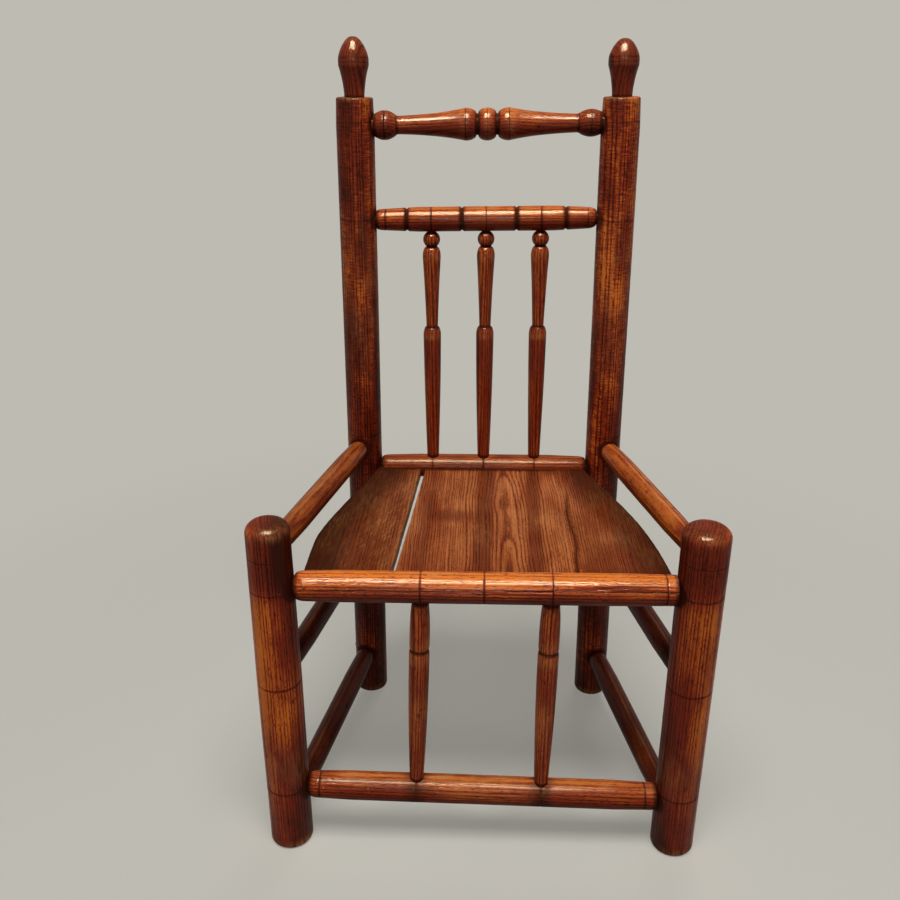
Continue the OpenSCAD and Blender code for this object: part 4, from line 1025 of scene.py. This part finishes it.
class CHAIR_OT_seat_boards(bpy.types.Operator):
    """The narrow and the wide board of the seat, with the open gap between them"""
    bl_idname = "chair.seat_boards"
    bl_label = "Seat boards"

    def execute(self, context):
        top = mm("seat_z")

        def seat_wood(x, **look):
            """Place and look of a board's wood, with x up, y to the right and z to the rear."""
            look = dict(stains=("seat_late", "seat_body", "seat_pore"), gloss=0.42, coat=0.06,
                        **look)
            return placement((Vector((x, 0, top)), Vector((x, 1, top))), UP), look

        def narrow_gap(t):
            return mix(-120.5, -98.5, t)

        def wide_gap(t):
            return mix(-115, -91, t)

        def streaks(add, local):
            """Short pale scratches across the grain of the narrow board."""
            aslant = add("Mapping", {"Vector": local, "Rotation": (0.3, 0, 0)})
            scaled = add("VectorMath", [aslant, (0.9, 0.9, 0.055)], operation="MULTIPLY")
            spots = add("TexNoise", {"Vector": scaled, "Scale": 1.0, "Detail": 1.0}, "Fac")
            return add("MapRange", {"Value": spots, "From Min": 0.58, "From Max": 0.7,
                                    "To Max": -0.4})

        # lean darkens the board towards its outer left edge: painted shade
        bm = board("narrow", lambda t: seat_side(LEFT, t), narrow_gap, 40, RIGHT)
        keep("seat_board_narrow", bm, "seat_wood", *seat_wood(
            -160, pith=(-60, -60), tilt=(0.0, 0.02), ring=3.8, tone=0.61, base=0.5, line=0.46,
            lean=(0, -0.005), extra=streaks))

        def marks(add, local):
            """Painted reflections of the back spindles as dark bands, painted shade and reflection
            towards the outer edge, a dark patch and saw marks of the wide board.
            """
            across, back = (add("SeparateXYZ", [local], axis) for axis in "YZ")
            # The bands are painted reflections of the back spindles, and they slant a little. The
            # curve ends darker at the outer edge as painted shade and reflection. Each point is x
            # from the middle of the chair and darkness
            first, last = -120, 245
            slant = add("Math", [back, -0.035, across], operation="MULTIPLY_ADD")
            reach = add("MapRange", {"Value": slant, "From Min": first - WIDE_X,
                                     "From Max": last - WIDE_X})
            bands = add("FloatCurve", {"Value": reach}, points=[
                ((x - first) / (last - first), dark) for x, dark in (
                    (-120, 0.6), (-104, 0.5), (-92, 0.54), (-84, 0.64), (-75, 0.62), (-66, 0.45),
                    (-50, 0.44), (-17, 0.42), (-10, 0.66), (2, 0.76), (12, 0.68), (18, 0.4),
                    (44, 0.38), (59, 0.42), (64, 0.66), (72, 0.7), (79, 0.66), (85, 0.4),
                    (112, 0.4), (132, 0.5), (150, 0.62), (185, 0.64), (245, 0.95))])
            patch = add("VectorMath", [local, (0, -107, 2)], operation="SUBTRACT")
            patch = add("VectorMath", [patch, (0, 1 / 40, 1 / 26)], operation="MULTIPLY")
            patch = add("VectorMath", [patch], "Value", operation="LENGTH")
            patch = add("MapRange", {"Value": patch, "From Min": 0.2, "To Min": 0.28,
                                     "To Max": 0.0})
            # Fine saw marks that run aslant towards the outer edge
            wobble = add("TexNoise", {"W": back, "Scale": 0.05, "Detail": 3.0}, "Fac",
                         noise_dimensions="1D")
            saw = add("Math", [back, 0.314, across], operation="MULTIPLY_ADD")
            saw = add("Math", [wobble, 2.0, saw], operation="MULTIPLY_ADD")
            saw = add("Math", [saw, math.tau / SAW_STEP], operation="MULTIPLY")
            saw = add("Math", [saw], operation="SINE")
            sawn = add("MapRange", {"Value": reach, "From Min": 0.7, "From Max": 0.8,
                                    "To Max": 0.13})
            saw = add("Math", [saw, sawn], operation="MULTIPLY")
            return add("Math", [add("Math", [bands, patch]), saw])

        def crack(t):
            """x and depth of the wide board's crack, which thins out towards both ends."""
            x = 121.7 + 2 * math.cos(math.tau * (t - 0.28) / 0.44)
            x += 1.4 * noise.noise(Vector((t * 40, 5, 0)))
            return x, 1.3 * min(1, max(0, (t - 0.02) / 0.06), max(0, (0.8 - t) / 0.3))

        bm = board("wide", wide_gap, lambda t: seat_side(RIGHT, t), 132, LEFT, crack)
        keep("seat_board_wide", bm, "seat_wood", *seat_wood(
            WIDE_X, pith=(-14, -22), tilt=(0.03, 0.0), ring=3.6, drift=16, wander=200, tone=0.88,
            base=-0.18, line=0.64, extra=marks))
        return {"FINISHED"}


# Length of a peg, and how far from the front post's axis the front ones stand
PEG_L = 26
PEG_IN = 15


class CHAIR_OT_pegs(bpy.types.Operator):
    """Small pegs through the joints where their ends show"""
    bl_idname = "chair.pegs"
    bl_label = "Pegs"

    def execute(self, context):
        line = [(-PEG_L, 1.75), (-PEG_L + 1.5, 2.5), (0, 2.5), *round_in((0, 2.5), (1, 0.8))]
        rows = []
        for side in SIDES:
            axis = front_axis(side, mm("seat_z") - FRONT_RAIL_DROP)
            face_y = axis.y - math.sqrt(front_r(side, axis.z) ** 2 - PEG_IN ** 2)
            rows.append((Vector((axis.x - side * PEG_IN, face_y, axis.z)), FRONT))
        post = back_axis(LEFT, LOWER_SIDE[1])
        rows.append((post - Vector((post_r("back"), 0, 0)), Vector((-1, 0, 0))))
        pegs = bmesh.new()
        for number, (base, out) in enumerate(rows):
            one = turned("peg_%d" % number, line, (base, base + out * PEG_L), UP, sides=20,
                         step=1, dents=0, grimy=[(0, 2, 0.8)])
            part = bpy.data.meshes.new("peg")
            one.to_mesh(part)
            one.free()
            pegs.from_mesh(part)
            bpy.data.meshes.remove(part)
        keep("joint_pegs", pegs, "peg_wood", placement((rows[0][0], rows[0][0] + FRONT), UP),
             dict(ring=2.0, tone=0.6))
        return {"FINISHED"}


# Point that the lamps are aimed at
LAMP_AIM = Vector((0, 0, 0.5))
# Camera of the photograph, fitted to the posts and rails
CAMERA_AT = (-0.011168, -1.159566, 1.049332)
CAMERA_YAW, CAMERA_PITCH, CAMERA_ROLL = -0.0313683, 0.4182983, -0.0038432
CAMERA_LENS = 36.7747


def lamp(name, at, size, watts, tint_hex="#ffffff", in_diffuse=True, in_gloss=True):
    """A soft box at a place, which lights the colour, the varnish's gloss or both."""
    light = bpy.data.lights.new(name, "AREA")
    light.shape = "RECTANGLE"
    light.size, light.size_y = size
    light.energy = watts
    light.color = linear(tint_hex)
    box = bpy.data.objects.new(name, light)
    box.location = at
    box.rotation_euler = (LAMP_AIM - Vector(at)).to_track_quat("-Z", "Y").to_euler()
    box.visible_diffuse = in_diffuse
    box.visible_glossy = in_gloss
    bpy.context.scene.collection.objects.link(box)


def sees_backdrop(add):
    """1 for the rays that take the backdrop's own colour, and 0 for those that light the chair."""
    seen = add("LightPath", out="Is Camera Ray")
    for kind in ("Is Glossy Ray", "Is Transmission Ray"):
        seen = add("Math", [seen, add("LightPath", out=kind)], use_clamp=True)
    return seen


class CHAIR_OT_studio(bpy.types.Operator):
    """Pale floor, soft lamps and the photograph's camera"""
    bl_idname = "chair.studio"
    bl_label = "Studio"

    def execute(self, context):
        scene = context.scene
        scene.view_settings.view_transform = "Standard"

        # The floor is plain near the chair and turns into the backdrop's even colour far off
        bm = bmesh.new()
        bmesh.ops.create_grid(bm, x_segments=8, y_segments=8, size=20)
        floor = object_of("floor", bm)
        # Painted plaster board: matt and even
        material = bpy.data.materials.new("painted_floor")
        add = blank_nodes(material)
        away = add("VectorMath", [add("TexCoord", out="Object")], "Value", operation="LENGTH")
        far = add("MapRange", {"Value": away, "From Min": 0.55, "From Max": 1.5},
                  interpolation_type="SMOOTHSTEP")
        seen = sees_backdrop(add)
        # A part of the backdrop's light near the chair too, which softens its shadow
        share = add("MapRange", {"Value": far, "To Min": 0.42})
        share = add("Math", [share, seen], operation="MULTIPLY")
        # The bare floor is darker, so that it throws little light up at the chair
        shade = add("MapRange", {"Value": seen, "To Min": 0.3, "To Max": 0.77})
        plain = add("Mix", {"Factor": shade, "A": (0, 0, 0, 1), "B": tint("backdrop")}, "Result",
                    data_type="RGBA")
        matt = add("BsdfDiffuse", {"Color": plain})
        even = add("Emission", {"Color": tint("backdrop"), "Strength": 1.0})
        add("OutputMaterial", {"Surface": add("MixShader", [share, matt, even])})
        floor.data.materials.append(material)

        scene.world = bpy.data.worlds.new("studio")
        add = blank_nodes(scene.world)
        fill = add("Background", {"Color": (1, 1, 1, 1), "Strength": 0.04})
        even = add("Background", {"Color": tint("backdrop"), "Strength": 1.0})
        add("OutputWorld", {"Surface": add("MixShader", [sees_backdrop(add), fill, even])})

        lamp("high_soft_box", (0, -1.4, 4.4), (2.5, 1.3), 240)
        lamp("back_soft_box", (1.2, 3.4, 2.4), (2.0, 2.0), 60, in_gloss=False)
        lamp("low_soft_box", (0, -3.6, 1.7), (0.7, 0.5), 30)
        lamp("varnish_soft_box", (-0.2, -1.3, 4.1), (2.0, 1.7), 1250, "#ffe4b8",
             in_diffuse=False)

        camera = bpy.data.objects.new("camera", bpy.data.cameras.new("camera"))
        camera.data.sensor_width = 36
        camera.data.lens = CAMERA_LENS
        yaw, pitch, roll = CAMERA_YAW, CAMERA_PITCH, CAMERA_ROLL
        forward = Vector((math.sin(yaw) * math.cos(pitch), math.cos(yaw) * math.cos(pitch),
                          -math.sin(pitch)))
        right = Vector((math.cos(yaw), -math.sin(yaw), 0))
        up = right.cross(forward)
        right, up = (right * math.cos(roll) + up * math.sin(roll),
                     up * math.cos(roll) - right * math.sin(roll))
        turn = Matrix((right, up, -forward)).transposed().to_4x4()
        camera.matrix_world = Matrix.Translation(CAMERA_AT) @ turn
        scene.collection.objects.link(camera)
        scene.camera = camera
        return {"FINISHED"}


MAKERS = (
    CHAIR_OT_front_posts, CHAIR_OT_back_posts, CHAIR_OT_finials, CHAIR_OT_crest_rail,
    CHAIR_OT_middle_back_rail, CHAIR_OT_seat_rails, CHAIR_OT_front_stretcher,
    CHAIR_OT_side_rails, CHAIR_OT_back_spindles, CHAIR_OT_front_spindles,
    CHAIR_OT_seat_boards, CHAIR_OT_pegs, CHAIR_OT_studio)


class CHAIR_PT_panel(bpy.types.Panel):
    """Sizes, colours and pieces of the chair"""
    bl_idname = "CHAIR_PT_panel"
    bl_label = "Turned chair"
    bl_space_type = "VIEW_3D"
    bl_region_type = "UI"
    bl_category = "Chair"

    def draw(self, context):
        for group in (context.scene.chair_sizes, context.scene.chair_finish):
            column = self.layout.column()
            for name in group.__annotations__:
                column.prop(group, name)
        for maker in MAKERS:
            self.layout.operator(maker.bl_idname)


CLASSES = (ChairSizes, ChairFinish, *MAKERS, CHAIR_PT_panel)


def register():
    for group in CLASSES:
        bpy.utils.register_class(group)
    bpy.types.Scene.chair_sizes = bpy.props.PointerProperty(type=ChairSizes)
    bpy.types.Scene.chair_finish = bpy.props.PointerProperty(type=ChairFinish)


def unregister():
    del bpy.types.Scene.chair_finish
    del bpy.types.Scene.chair_sizes
    for group in reversed(CLASSES):
        bpy.utils.unregister_class(group)


def main():
    register()
    bpy.ops.chair.front_posts()
    bpy.ops.chair.back_posts()
    bpy.ops.chair.finials()
    bpy.ops.chair.crest_rail()
    bpy.ops.chair.middle_back_rail()
    bpy.ops.chair.seat_rails()
    bpy.ops.chair.front_stretcher()
    bpy.ops.chair.side_rails()
    bpy.ops.chair.back_spindles()
    bpy.ops.chair.front_spindles()
    bpy.ops.chair.seat_boards()
    bpy.ops.chair.pegs()
    bpy.ops.chair.studio()


if __name__ == "__main__":
    main()
